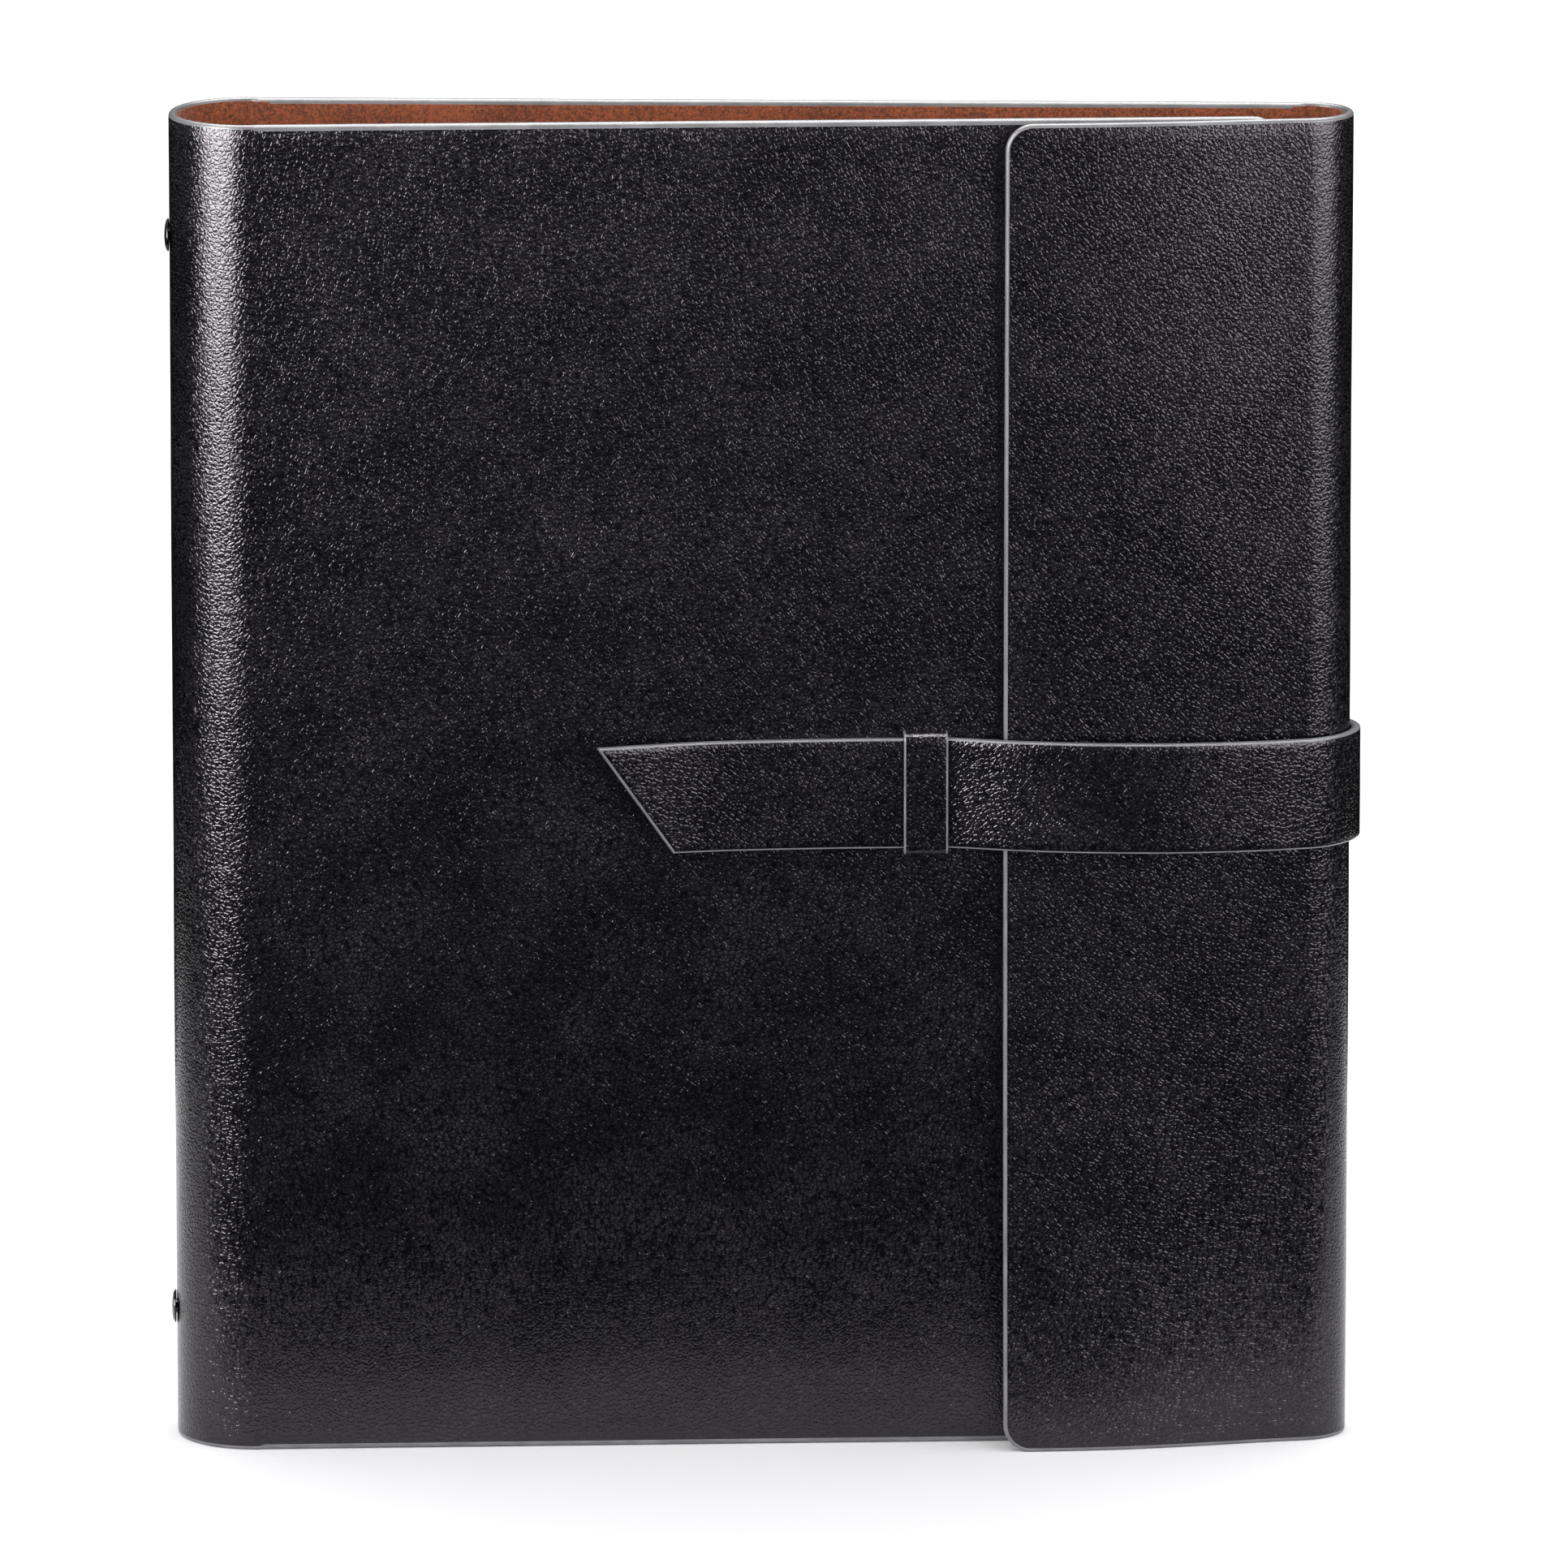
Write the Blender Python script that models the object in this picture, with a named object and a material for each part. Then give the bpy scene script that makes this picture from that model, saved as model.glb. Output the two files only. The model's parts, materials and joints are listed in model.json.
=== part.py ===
"""A leather ring-binder cover with a closing flap and a strap, standing closed on its lower edge.

One hide runs from the front panel round the spine, over the back panel and round the fore edge into
the flap. Where the hide bends it is divided into narrow segments, hinged along its outer surface.
X runs from the spine to the fore edge, -Y faces the front panel's side, and Z is up.
"""
import math

import bmesh
import bpy
from mathutils import Vector

# Overall sizes, in metres
COVER_HEIGHT = 0.292
COVER_WIDTH = 0.254
SPINE_RADIUS = 0.017
FORE_EDGE_RADIUS = 0.010

# Layers
LEATHER = 0.0010
BOARD = 0.0006
LINING = 0.0005
GLUE_LINE = 0.0002
BOARD_INSET = 0.0010

# Bends
SPINE_SEGMENTS = 5
FORE_EDGE_SEGMENTS = 3
FACETS_PER_SEGMENT = 4
CUT_GAP = 0.0003

# Front panel and flap
FRONT_PANEL_SHORTFALL = 0.0157
FLAP_LENGTH = 0.0654
FLAP_CLEARANCE = 0.00035
CORNER_RADIUS = 0.0060
CORNER_STEPS = 6

# Strap and keeper
STRAP_WIDTH = 0.0243
STRAP_THICKNESS = 0.0020
STRAP_CENTRE_HEIGHT = 0.1449
STRAP_GAP = 0.0003
STRAP_TIP_CLEARANCE = 0.00035
STRAP_TAIL_LENGTH = 0.060
STRAP_BEND_RELIEF = 0.0011
STRAP_ROOT_RELIEF = 0.0020
STRAP_ROOT_START = 0.0008
STRAP_ROOT_CUT = 0.0006
STRAP_POINT = 0.1530
STRAP_SLANT = 0.0166
TENT_ANGLE = math.radians(7.5)
KEEPER_NEAR_EDGE = 0.0774
KEEPER_WIDTH = 0.0094
KEEPER_THICKNESS = 0.0009
KEEPER_CLEARANCE = 0.0004
KEEPER_LEG_DEPTH = 0.0007

# Ring mechanism
PLATE_LENGTH = 0.258
PLATE_WIDTH = 0.018
PLATE_RISE = 0.0036
PLATE_THICKNESS = 0.0008
RING_COUNT = 3
RING_PITCH = 0.108
RING_WIRE = 0.0028
RING_RADIUS = 0.0100
RING_FOOT = 0.0062
RING_SLOT_CLEARANCE = 0.0010
RING_TIP_GAP = 0.0003
BLADE_PIVOT = 0.0072
BLADE_DROP = 0.00115
BLADE_THICKNESS = 0.0008
BLADE_REST_TILT = math.radians(6.5)
BLADE_SHORTFALL = 0.0010
LEVER_WIDTH = 0.0050
LEVER_PIVOT_BEYOND_PLATE = 0.0008
# The lever's side outline from its pivot: (out of the spine, towards the plate's middle)
LEVER_OUTLINE = (
    (-0.0025, 0.0030),
    (-0.0017, 0.0030),
    (-0.0017, -0.0003),
    (-0.0006, -0.0012),
    (0.0030, -0.0020),
    (0.0094, -0.0052),
    (0.0098, -0.0066),
    (0.0086, -0.0072),
    (0.0022, -0.0040),
    (-0.0012, -0.0030),
    (-0.0025, -0.0016),
)
RIVET_OFFSETS = (-0.118, 0.119)
RIVET_HEAD_RADIUS = 0.0037
RIVET_HEAD_HEIGHT = 0.00085
RIVET_RIM_HEIGHT = 0.0002
RIVET_CROWN_RADIUS = 0.0003
RIVET_POST_RADIUS = 0.0015
RIVET_FLANGE_RADIUS = 0.0027
RIVET_FLANGE_THICKNESS = 0.0007
RIVET_FLANGE_TAPER = 0.0005
RIVET_HOLE_CLEARANCE = 0.0004

# How finely round shapes are divided
ROUND_SIDES = 24
HOLE_SIDES = 16
PLATE_FACETS = 12
RING_FACETS = 14
DOME_FACETS = 6
RING_BEVEL_RESOLUTION = 2
SMOOTH_ANGLE = math.radians(35)

# Sizes that follow from the ones above
BEND_THICKNESS = LEATHER + GLUE_LINE + LINING
PANEL_THICKNESS = BEND_THICKNESS + BOARD + GLUE_LINE
FLAP_STACK = BEND_THICKNESS + FLAP_CLEARANCE
SPINE_CENTRE = Vector((SPINE_RADIUS - COVER_WIDTH / 2, 0.0))
FORE_CENTRE = Vector((COVER_WIDTH / 2 - FORE_EDGE_RADIUS, 0.0))
CENTRE_DISTANCE = FORE_CENTRE.x - SPINE_CENTRE.x
BACK_SLOPE = math.asin((SPINE_RADIUS - FORE_EDGE_RADIUS) / CENTRE_DISTANCE)
FRONT_SLOPE = math.asin((SPINE_RADIUS - FORE_EDGE_RADIUS + FLAP_STACK) / CENTRE_DISTANCE)
SPINE_TURN = math.pi + BACK_SLOPE + FRONT_SLOPE
FORE_EDGE_TURN = math.pi - BACK_SLOPE - FRONT_SLOPE
STRAP_LOW = STRAP_CENTRE_HEIGHT - STRAP_WIDTH / 2
STRAP_HIGH = STRAP_CENTRE_HEIGHT + STRAP_WIDTH / 2
STRAP_LEVEL = max(FLAP_STACK + STRAP_GAP, STRAP_TIP_CLEARANCE + STRAP_THICKNESS)
STRAP_TUCK = KEEPER_NEAR_EDGE - CUT_GAP
STRAP_LINK = (STRAP_TUCK - STRAP_ROOT_START) / 2 / math.cos(TENT_ANGLE)
RIVET_HEIGHTS = [COVER_HEIGHT / 2 + offset for offset in RIVET_OFFSETS]
RING_HEIGHTS = [COVER_HEIGHT / 2 + (n - (RING_COUNT - 1) / 2) * RING_PITCH for n in range(RING_COUNT)]
LINING_RADIUS = SPINE_RADIUS - BEND_THICKNESS


class Face:
    """An outer face seen from above: where it starts, which way it runs and which way it looks."""

    def __init__(self, start, along, outward):
        self.start = start
        self.along = along
        self.outward = outward

    def at(self, distance, depth):
        """The plan point this far along the face and this deep under it."""
        return self.start + self.along * distance - self.outward * depth


BACK_OUT = Vector((math.sin(BACK_SLOPE), math.cos(BACK_SLOPE)))
FRONT_OUT = Vector((math.sin(FRONT_SLOPE), -math.cos(FRONT_SLOPE)))
BACK_RUN = Vector((math.cos(BACK_SLOPE), -math.sin(BACK_SLOPE)))
FRONT_RUN = Vector((math.cos(FRONT_SLOPE), math.sin(FRONT_SLOPE)))
BACK_FACE = Face(SPINE_CENTRE + BACK_OUT * SPINE_RADIUS, BACK_RUN, BACK_OUT)
FRONT_FACE = Face(SPINE_CENTRE + FRONT_OUT * SPINE_RADIUS, FRONT_RUN, FRONT_OUT)
FLAP_FACE = Face(FORE_CENTRE + FRONT_OUT * FORE_EDGE_RADIUS, -FRONT_RUN, FRONT_OUT)
BACK_LENGTH = (FORE_CENTRE + BACK_OUT * FORE_EDGE_RADIUS - BACK_FACE.start).length
FRONT_LENGTH = (COVER_WIDTH / 2 - FRONT_PANEL_SHORTFALL - FRONT_FACE.start.x) / FRONT_RUN.x
SPINE_START = math.pi / 2 - BACK_SLOPE
FORE_EDGE_START = math.pi / 2 - BACK_SLOPE


def on_circle(centre, radius, angle):
    return centre + Vector((math.cos(angle), math.sin(angle))) * radius


# Making objects

def clear_scene():
    for item in list(bpy.data.objects):
        bpy.data.objects.remove(item, do_unlink=True)


def material(name, colour, roughness, metallic=0.0):
    made = bpy.data.materials.new(name)
    made.use_nodes = True
    shader = made.node_tree.nodes["Principled BSDF"]
    shader.inputs["Base Color"].default_value = (*colour, 1.0)
    shader.inputs["Roughness"].default_value = roughness
    shader.inputs["Metallic"].default_value = metallic
    return made


def pivot(name, point, parent=None):
    """An empty on a joint's axis. point is in world coordinates."""
    empty = bpy.data.objects.new(name, None)
    bpy.context.scene.collection.objects.link(empty)
    empty["world"] = tuple(point)
    if parent:
        empty.parent = parent
    empty.location = Vector(point) - world_of(parent)
    return empty


def world_of(empty):
    return Vector(empty["world"]) if empty else Vector((0.0, 0.0, 0.0))


def solid(name, points, faces, finish, body):
    """A closed mesh from world points, with its origin on its body's pivot."""
    mesh = bpy.data.meshes.new(name)
    build = bmesh.new()
    origin = world_of(body)
    corners = [build.verts.new(Vector(point) - origin) for point in points]
    for face in faces:
        build.faces.new([corners[index] for index in face])
    bmesh.ops.recalc_face_normals(build, faces=build.faces)
    build.to_mesh(mesh)
    build.free()
    mesh.materials.append(finish)
    made = bpy.data.objects.new(name, mesh)
    bpy.context.scene.collection.objects.link(made)
    made.parent = body
    return made


def prism(name, outline, place, low, high, finish, body):
    """An outline carried from low to high. place turns (a, b, height) into a world point."""
    count = len(outline)
    points = [place(a, b, level) for level in (low, high) for a, b in outline]
    sides = [
        (index, (index + 1) % count, (index + 1) % count + count, index + count)
        for index in range(count)
    ]
    faces = [tuple(range(count)), tuple(range(count, 2 * count)), *sides]
    return solid(name, points, faces, finish, body)


def upright(a, b, height):
    return (a, b, height)


def bend(name, centre, outer, thickness, start, turn, low, high, finish, body, relief=CUT_GAP / 2):
    """An upright wall round an arc, shortened at each end by relief."""
    trim = math.copysign(relief / outer, turn)
    angles = [
        start + trim + (turn - 2 * trim) * step / FACETS_PER_SEGMENT
        for step in range(FACETS_PER_SEGMENT + 1)
    ]
    rim = [on_circle(centre, outer, angle) for angle in angles]
    rim += [on_circle(centre, outer - thickness, angle) for angle in reversed(angles)]
    return prism(name, rim, upright, low, high, finish, body)


def sheet_outline(start, end, low, high, radius):
    """A rectangle whose two corners at its far end are rounded."""
    sign = math.copysign(1.0, end - start)
    outline = [(start, low)]
    for centre_height, first in ((low + radius, -math.pi / 2), (high - radius, 0.0)):
        for step in range(CORNER_STEPS + 1 if radius else 1):
            angle = first + math.pi / 2 * step / CORNER_STEPS
            outline.append(
                (
                    end - sign * radius * (1 - math.cos(angle)),
                    centre_height + radius * math.sin(angle),
                )
            )
    outline.append((start, high))
    return outline


def sheet(name, face, start, end, low, high, depth, thickness, finish, body, radius=0.0):
    """A flat layer lying this deep under a face."""

    def place(distance, height, level):
        return (*face.at(distance, level), height)

    outline = sheet_outline(start, end, low, high, radius)
    if not radius:
        outline = [(start, low), (end, low), (end, high), (start, high)]
    return prism(name, outline, place, depth, depth + thickness, finish, body)


def cutter(name, points, faces):
    made = solid(name, points, faces, bpy.data.materials["bright_steel"], None)
    made.hide_render = True
    made.display_type = "WIRE"
    return made


def box_shape(low, high):
    points = [(x, y, z) for x in (low[0], high[0]) for y in (low[1], high[1]) for z in (low[2], high[2])]
    faces = [(0, 1, 3, 2), (4, 6, 7, 5), (0, 4, 5, 1), (2, 3, 7, 6), (0, 2, 6, 4), (1, 5, 7, 3)]
    return points, faces


def turned_shape(profile, height, sides=ROUND_SIDES):
    """A profile of (x, radius) turned about the X direction at this height."""
    points = []
    faces = []
    for x, radius in profile:
        for side in range(sides):
            angle = 2 * math.pi * side / sides
            points.append((x, radius * math.cos(angle), height + radius * math.sin(angle)))
    for row in range(len(profile) - 1):
        for side in range(sides):
            after = (side + 1) % sides
            faces.append(
                (
                    row * sides + side,
                    row * sides + after,
                    (row + 1) * sides + after,
                    (row + 1) * sides + side,
                )
            )
    last = (len(profile) - 1) * sides
    faces.append(tuple(range(sides)))
    faces.append(tuple(range(last, last + sides)))
    return points, faces


def join_shapes(shapes):
    points = []
    faces = []
    for shape_points, shape_faces in shapes:
        base = len(points)
        points += shape_points
        faces += [tuple(index + base for index in face) for face in shape_faces]
    return points, faces


def cut(piece, tool):
    change = piece.modifiers.new(f"cut_{tool.name}", "BOOLEAN")
    change.operation = "DIFFERENCE"
    change.solver = "EXACT"
    change.object = tool


def smooth(piece):
    piece.data.shade_smooth()
    piece.data.set_sharp_from_angle(angle=SMOOTH_ANGLE)


# The hide, its lining and its boards

def make_spine_pivots():
    """One pivot at each hinge line round the spine; the last one carries the front panel."""
    pivots = []
    parent = None
    for index in range(SPINE_SEGMENTS + 1):
        angle = SPINE_START + SPINE_TURN * index / SPINE_SEGMENTS
        place = on_circle(SPINE_CENTRE, SPINE_RADIUS, angle)
        parent = pivot(f"spine_hinge_{index + 1}", (*place, 0.0), parent)
        pivots.append(parent)
    return pivots


def make_fore_edge_pivots():
    pivots = []
    parent = None
    for index in range(FORE_EDGE_SEGMENTS + 1):
        angle = FORE_EDGE_START - FORE_EDGE_TURN * index / FORE_EDGE_SEGMENTS
        place = on_circle(FORE_CENTRE, FORE_EDGE_RADIUS, angle)
        parent = pivot(f"fore_edge_hinge_{index + 1}", (*place, 0.0), parent)
        pivots.append(parent)
    return pivots


def make_panel(side, face, length, leather, lining, board, body, radius):
    """A panel's leather, board and lining, divided from the bend at its start."""
    near = CUT_GAP / 2
    far = length if radius else length - CUT_GAP / 2
    sheet(f"leather_{side}", face, near, far, 0.0, COVER_HEIGHT, 0.0, LEATHER, leather, body, radius)
    sheet(
        f"board_{side}", face, near + BOARD_INSET, far - BOARD_INSET, BOARD_INSET,
        COVER_HEIGHT - BOARD_INSET, LEATHER + GLUE_LINE, BOARD, board, body,
        max(radius - BOARD_INSET, 0.0),
    )
    sheet(
        f"lining_{side}", face, near, far, 0.0, COVER_HEIGHT, PANEL_THICKNESS - LINING, LINING,
        lining, body, radius,
    )


def make_bends(name, centre, outer, start, turn, count, leather, lining, pivots):
    for index in range(count):
        first = start + turn * index / count
        body = pivots[index]
        bend(
            f"leather_{name}_{index + 1}", centre, outer, LEATHER, first, turn / count, 0.0,
            COVER_HEIGHT, leather, body,
        )
        bend(
            f"lining_{name}_{index + 1}", centre, outer - LEATHER - GLUE_LINE, LINING, first,
            turn / count, 0.0, COVER_HEIGHT, lining, body,
        )


def make_flap(leather, lining, body):
    near = CUT_GAP / 2
    sheet(
        "leather_flap", FLAP_FACE, near, FLAP_LENGTH, 0.0, COVER_HEIGHT, 0.0, LEATHER, leather,
        body, CORNER_RADIUS,
    )
    sheet(
        "lining_flap", FLAP_FACE, near, FLAP_LENGTH, 0.0, COVER_HEIGHT, LEATHER + GLUE_LINE,
        LINING, lining, body, CORNER_RADIUS,
    )


# The strap and its keeper

def over_front(distance, level):
    """A plan point this far from the fore edge and this far out from the front panel's face."""
    return FLAP_FACE.at(distance, FLAP_STACK - level)


def make_strap(leather, fore_pivots):
    """The strap: sewn to the back, round the fore edge, over the flap and through the keeper."""
    sheet(
        "strap_tail", BACK_FACE, BACK_LENGTH - STRAP_TAIL_LENGTH, BACK_LENGTH - STRAP_BEND_RELIEF,
        STRAP_LOW, STRAP_HIGH, -STRAP_GAP - STRAP_THICKNESS, STRAP_THICKNESS, leather, None,
    )
    outer = FORE_EDGE_RADIUS + STRAP_GAP + STRAP_THICKNESS
    turn = -FORE_EDGE_TURN / FORE_EDGE_SEGMENTS
    for index in range(FORE_EDGE_SEGMENTS):
        last = index == FORE_EDGE_SEGMENTS - 1
        extra = (STRAP_ROOT_RELIEF - STRAP_BEND_RELIEF) / outer if last else 0.0
        bend(
            f"strap_bend_{index + 1}", FORE_CENTRE, outer, STRAP_THICKNESS,
            FORE_EDGE_START + turn * index, turn + extra, STRAP_LOW, STRAP_HIGH, leather,
            fore_pivots[index], STRAP_BEND_RELIEF,
        )
    root = over_front(STRAP_ROOT_START, STRAP_LEVEL)
    crown = over_front(
        (STRAP_ROOT_START + STRAP_TUCK) / 2, STRAP_LEVEL + STRAP_LINK * math.sin(TENT_ANGLE)
    )
    tuck = over_front(STRAP_TUCK, STRAP_LEVEL)
    root_pivot = pivot("strap_root_hinge", (*root, STRAP_CENTRE_HEIGHT), fore_pivots[-1])
    crown_pivot = pivot("strap_crown_hinge", (*crown, STRAP_CENTRE_HEIGHT), root_pivot)
    tuck_pivot = pivot("strap_tuck_hinge", (*tuck, STRAP_CENTRE_HEIGHT), crown_pivot)
    rising = (crown - root).normalized()
    rise_out = Vector((-rising.y, rising.x))
    if rise_out.dot(FRONT_OUT) < 0:
        rise_out.negate()
    link = Face(root, rising, rise_out)
    sheet(
        "strap_root", link, STRAP_ROOT_CUT, STRAP_LINK - CUT_GAP / 2, STRAP_LOW, STRAP_HIGH,
        -STRAP_THICKNESS, STRAP_THICKNESS, leather, root_pivot,
    )
    under_tuck = over_front(STRAP_TUCK, STRAP_LEVEL - STRAP_THICKNESS)
    falling = (under_tuck - crown).normalized()
    fall_out = Vector((-falling.y, falling.x))
    if fall_out.dot(FRONT_OUT) < 0:
        fall_out.negate()
    link = Face(crown, falling, fall_out)
    lean = STRAP_THICKNESS * -falling.dot(FRONT_OUT)
    end = (under_tuck - crown).length - lean - CUT_GAP
    sheet(
        "strap_middle", link, CUT_GAP, end, STRAP_LOW, STRAP_HIGH, -STRAP_THICKNESS,
        STRAP_THICKNESS, leather, crown_pivot,
    )
    outline = [
        (STRAP_TUCK, STRAP_LOW),
        (STRAP_POINT - STRAP_SLANT, STRAP_LOW),
        (STRAP_POINT, STRAP_HIGH),
        (STRAP_TUCK, STRAP_HIGH),
    ]

    def place(distance, height, level):
        return (*over_front(distance, level), height)

    prism(
        "strap_tip", outline, place, STRAP_LEVEL - STRAP_THICKNESS, STRAP_LEVEL, leather,
        tuck_pivot,
    )


def make_keeper(leather, front_body):
    """A band over the strap. Its two legs go into slits in the front panel's leather."""
    inner_low = STRAP_LOW - KEEPER_CLEARANCE
    inner_high = STRAP_HIGH + KEEPER_CLEARANCE
    inner_level = STRAP_LEVEL + KEEPER_CLEARANCE
    outer_low = inner_low - KEEPER_THICKNESS
    outer_high = inner_high + KEEPER_THICKNESS
    outline = [
        (-KEEPER_LEG_DEPTH, outer_low),
        (inner_level + KEEPER_THICKNESS, outer_low),
        (inner_level + KEEPER_THICKNESS, outer_high),
        (-KEEPER_LEG_DEPTH, outer_high),
        (-KEEPER_LEG_DEPTH, inner_high),
        (inner_level, inner_high),
        (inner_level, inner_low),
        (-KEEPER_LEG_DEPTH, inner_low),
    ]

    def place(level, height, distance):
        return (*over_front(distance, level), height)

    far = KEEPER_NEAR_EDGE + KEEPER_WIDTH
    prism("keeper", outline, place, KEEPER_NEAR_EDGE, far, leather, front_body)
    panel = bpy.data.objects["leather_front"]
    for side, low, high in (("low", outer_low, inner_low), ("high", inner_high, outer_high)):
        slit = [
            (-2 * LEATHER, low - CUT_GAP),
            (LEATHER, low - CUT_GAP),
            (LEATHER, high + CUT_GAP),
            (-2 * LEATHER, high + CUT_GAP),
        ]
        tool = prism(
            f"slit_cutter_{side}", slit, place, KEEPER_NEAR_EDGE - CUT_GAP, far + CUT_GAP, leather,
            None,
        )
        tool.hide_render = True
        tool.display_type = "WIRE"
        cut(panel, tool)


# The ring mechanism

PLATE_OUTER_RADIUS = ((PLATE_WIDTH / 2) ** 2 + PLATE_RISE**2) / (2 * PLATE_RISE)
PLATE_INNER_RADIUS = PLATE_OUTER_RADIUS - PLATE_THICKNESS
PLATE_HALF_ANGLE = math.asin(PLATE_WIDTH / 2 / PLATE_OUTER_RADIUS)
PLATE_LOW = COVER_HEIGHT / 2 - PLATE_LENGTH / 2
PLATE_HIGH = COVER_HEIGHT / 2 + PLATE_LENGTH / 2


def lining_x(offset):
    """Where the spine's lining is, this far from the middle plane."""
    return SPINE_CENTRE.x - math.sqrt(LINING_RADIUS**2 - offset**2)


PLATE_SEAT = lining_x(PLATE_INNER_RADIUS * math.sin(PLATE_HALF_ANGLE)) + CUT_GAP
PLATE_CENTRE = PLATE_SEAT - PLATE_INNER_RADIUS * math.cos(PLATE_HALF_ANGLE)
PLATE_CROWN = PLATE_CENTRE + PLATE_OUTER_RADIUS
BLADE_AXIS = lining_x(BLADE_PIVOT) + BLADE_DROP


def make_ring_plate(steel, body):
    outline = []
    for radius, order in ((PLATE_OUTER_RADIUS, 1), (PLATE_INNER_RADIUS, -1)):
        for step in range(PLATE_FACETS + 1):
            angle = PLATE_HALF_ANGLE * (2 * step / PLATE_FACETS - 1) * order
            outline.append((PLATE_CENTRE + radius * math.cos(angle), radius * math.sin(angle)))
    plate = prism("ring_plate", outline, upright, PLATE_LOW, PLATE_HIGH, steel, body)
    half_slot = RING_WIRE / 2 + RING_SLOT_CLEARANCE
    shapes = []
    for height in RING_HEIGHTS:
        for side in (-1, 1):
            middle = side * RING_FOOT
            shapes.append(
                box_shape(
                    (PLATE_CENTRE, middle - half_slot, height - half_slot),
                    (PLATE_CROWN + PLATE_RISE, middle + half_slot, height + half_slot),
                )
            )
    for height in RIVET_HEIGHTS:
        radius = RIVET_POST_RADIUS + RIVET_HOLE_CLEARANCE
        ends = (PLATE_CENTRE + PLATE_RISE, PLATE_CROWN + PLATE_RISE)
        shapes.append(turned_shape([(x, radius) for x in ends], height, HOLE_SIDES))
    cut(plate, cutter("plate_cutter", *join_shapes(shapes)))
    smooth(plate)


def make_blades(steel, bodies):
    """Two strips under the plate. Each turns about its outer edge and carries three half rings."""
    reach = BLADE_PIVOT - CUT_GAP / 2
    for side, body in bodies:
        name = "front" if side < 0 else "back"
        drop = reach * math.tan(BLADE_REST_TILT)
        half = BLADE_THICKNESS / 2
        outline = [
            (BLADE_AXIS - half, side * BLADE_PIVOT),
            (BLADE_AXIS + half, side * BLADE_PIVOT),
            (BLADE_AXIS + half - drop, side * (BLADE_PIVOT - reach)),
            (BLADE_AXIS - half - drop, side * (BLADE_PIVOT - reach)),
        ]
        blade = prism(
            f"blade_{name}", outline, upright, PLATE_LOW + BLADE_SHORTFALL,
            PLATE_HIGH - BLADE_SHORTFALL, steel, body,
        )
        notch = RIVET_POST_RADIUS + 2 * RIVET_HOLE_CLEARANCE
        shapes = [
            box_shape(
                (BLADE_AXIS - 4 * BLADE_THICKNESS, -notch, height - notch),
                (BLADE_AXIS + 4 * BLADE_THICKNESS, notch, height + notch),
            )
            for height in RIVET_HEIGHTS
        ]
        cut(blade, cutter(f"blade_cutter_{name}", *join_shapes(shapes)))


def ring_path(side):
    """Half a ring in plan: a straight foot through the plate, then round to the meeting tip."""
    foot_angle = math.asin(RING_FOOT / RING_RADIUS)
    plate_top = PLATE_CENTRE + math.sqrt(PLATE_OUTER_RADIUS**2 - RING_FOOT**2)
    knee = plate_top + RING_WIRE / 8
    centre = knee + RING_RADIUS * math.cos(foot_angle)
    inset = (BLADE_PIVOT - RING_FOOT - RING_WIRE / 2) * math.tan(BLADE_REST_TILT)
    foot_end = BLADE_AXIS + BLADE_THICKNESS / 2 + CUT_GAP + max(inset, 0.0)
    path = [(foot_end, side * RING_FOOT)]
    tip_angle = math.pi - RING_TIP_GAP / 2 / RING_RADIUS
    for step in range(RING_FACETS + 1):
        angle = foot_angle + (tip_angle - foot_angle) * step / RING_FACETS
        path.append(
            (centre - RING_RADIUS * math.cos(angle), side * RING_RADIUS * math.sin(angle))
        )
    return path


def make_half_ring(name, side, height, steel, body):
    curve = bpy.data.curves.new(name, "CURVE")
    curve.dimensions = "3D"
    curve.bevel_depth = RING_WIRE / 2
    curve.bevel_resolution = RING_BEVEL_RESOLUTION
    curve.use_fill_caps = True
    path = ring_path(side)
    spline = curve.splines.new("POLY")
    spline.points.add(len(path) - 1)
    origin = world_of(body)
    for point, (x, y) in zip(spline.points, path):
        point.co = (x - origin.x, y - origin.y, height - origin.z, 1.0)
    curve.materials.append(steel)
    made = bpy.data.objects.new(name, curve)
    bpy.context.scene.collection.objects.link(made)
    made.parent = body


def make_lever(name, sign, steel, body):
    """A bent tab. sign is +1 at the lower end of the plate and -1 at the upper end."""
    origin = world_of(body)
    outline = [(origin.x + x, origin.z + sign * z) for x, z in LEVER_OUTLINE]

    def place(x, height, across):
        return (x, across, height)

    prism(name, outline, place, -LEVER_WIDTH / 2, LEVER_WIDTH / 2, steel, body)


def make_rivet(name, height, steel, body):
    """A domed head outside, a post through the hide and a flange on the plate's crown."""
    underside = -COVER_WIDTH / 2 - GLUE_LINE
    dome = RIVET_HEAD_HEIGHT - RIVET_RIM_HEIGHT
    profile = [(underside - RIVET_HEAD_HEIGHT, RIVET_CROWN_RADIUS)]
    for step in range(1, DOME_FACETS + 1):
        angle = math.pi / 2 * step / DOME_FACETS
        rise = RIVET_RIM_HEIGHT + dome * math.cos(angle)
        profile.append((underside - rise, RIVET_HEAD_RADIUS * math.sin(angle)))
    flange = PLATE_CROWN + CUT_GAP
    profile += [
        (underside, RIVET_HEAD_RADIUS),
        (underside, RIVET_POST_RADIUS),
        (flange, RIVET_POST_RADIUS),
        (flange, RIVET_FLANGE_RADIUS),
        (flange + RIVET_FLANGE_THICKNESS, RIVET_FLANGE_RADIUS - RIVET_FLANGE_TAPER),
    ]
    made = solid(name, *turned_shape(profile, height), steel, body)
    smooth(made)


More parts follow.
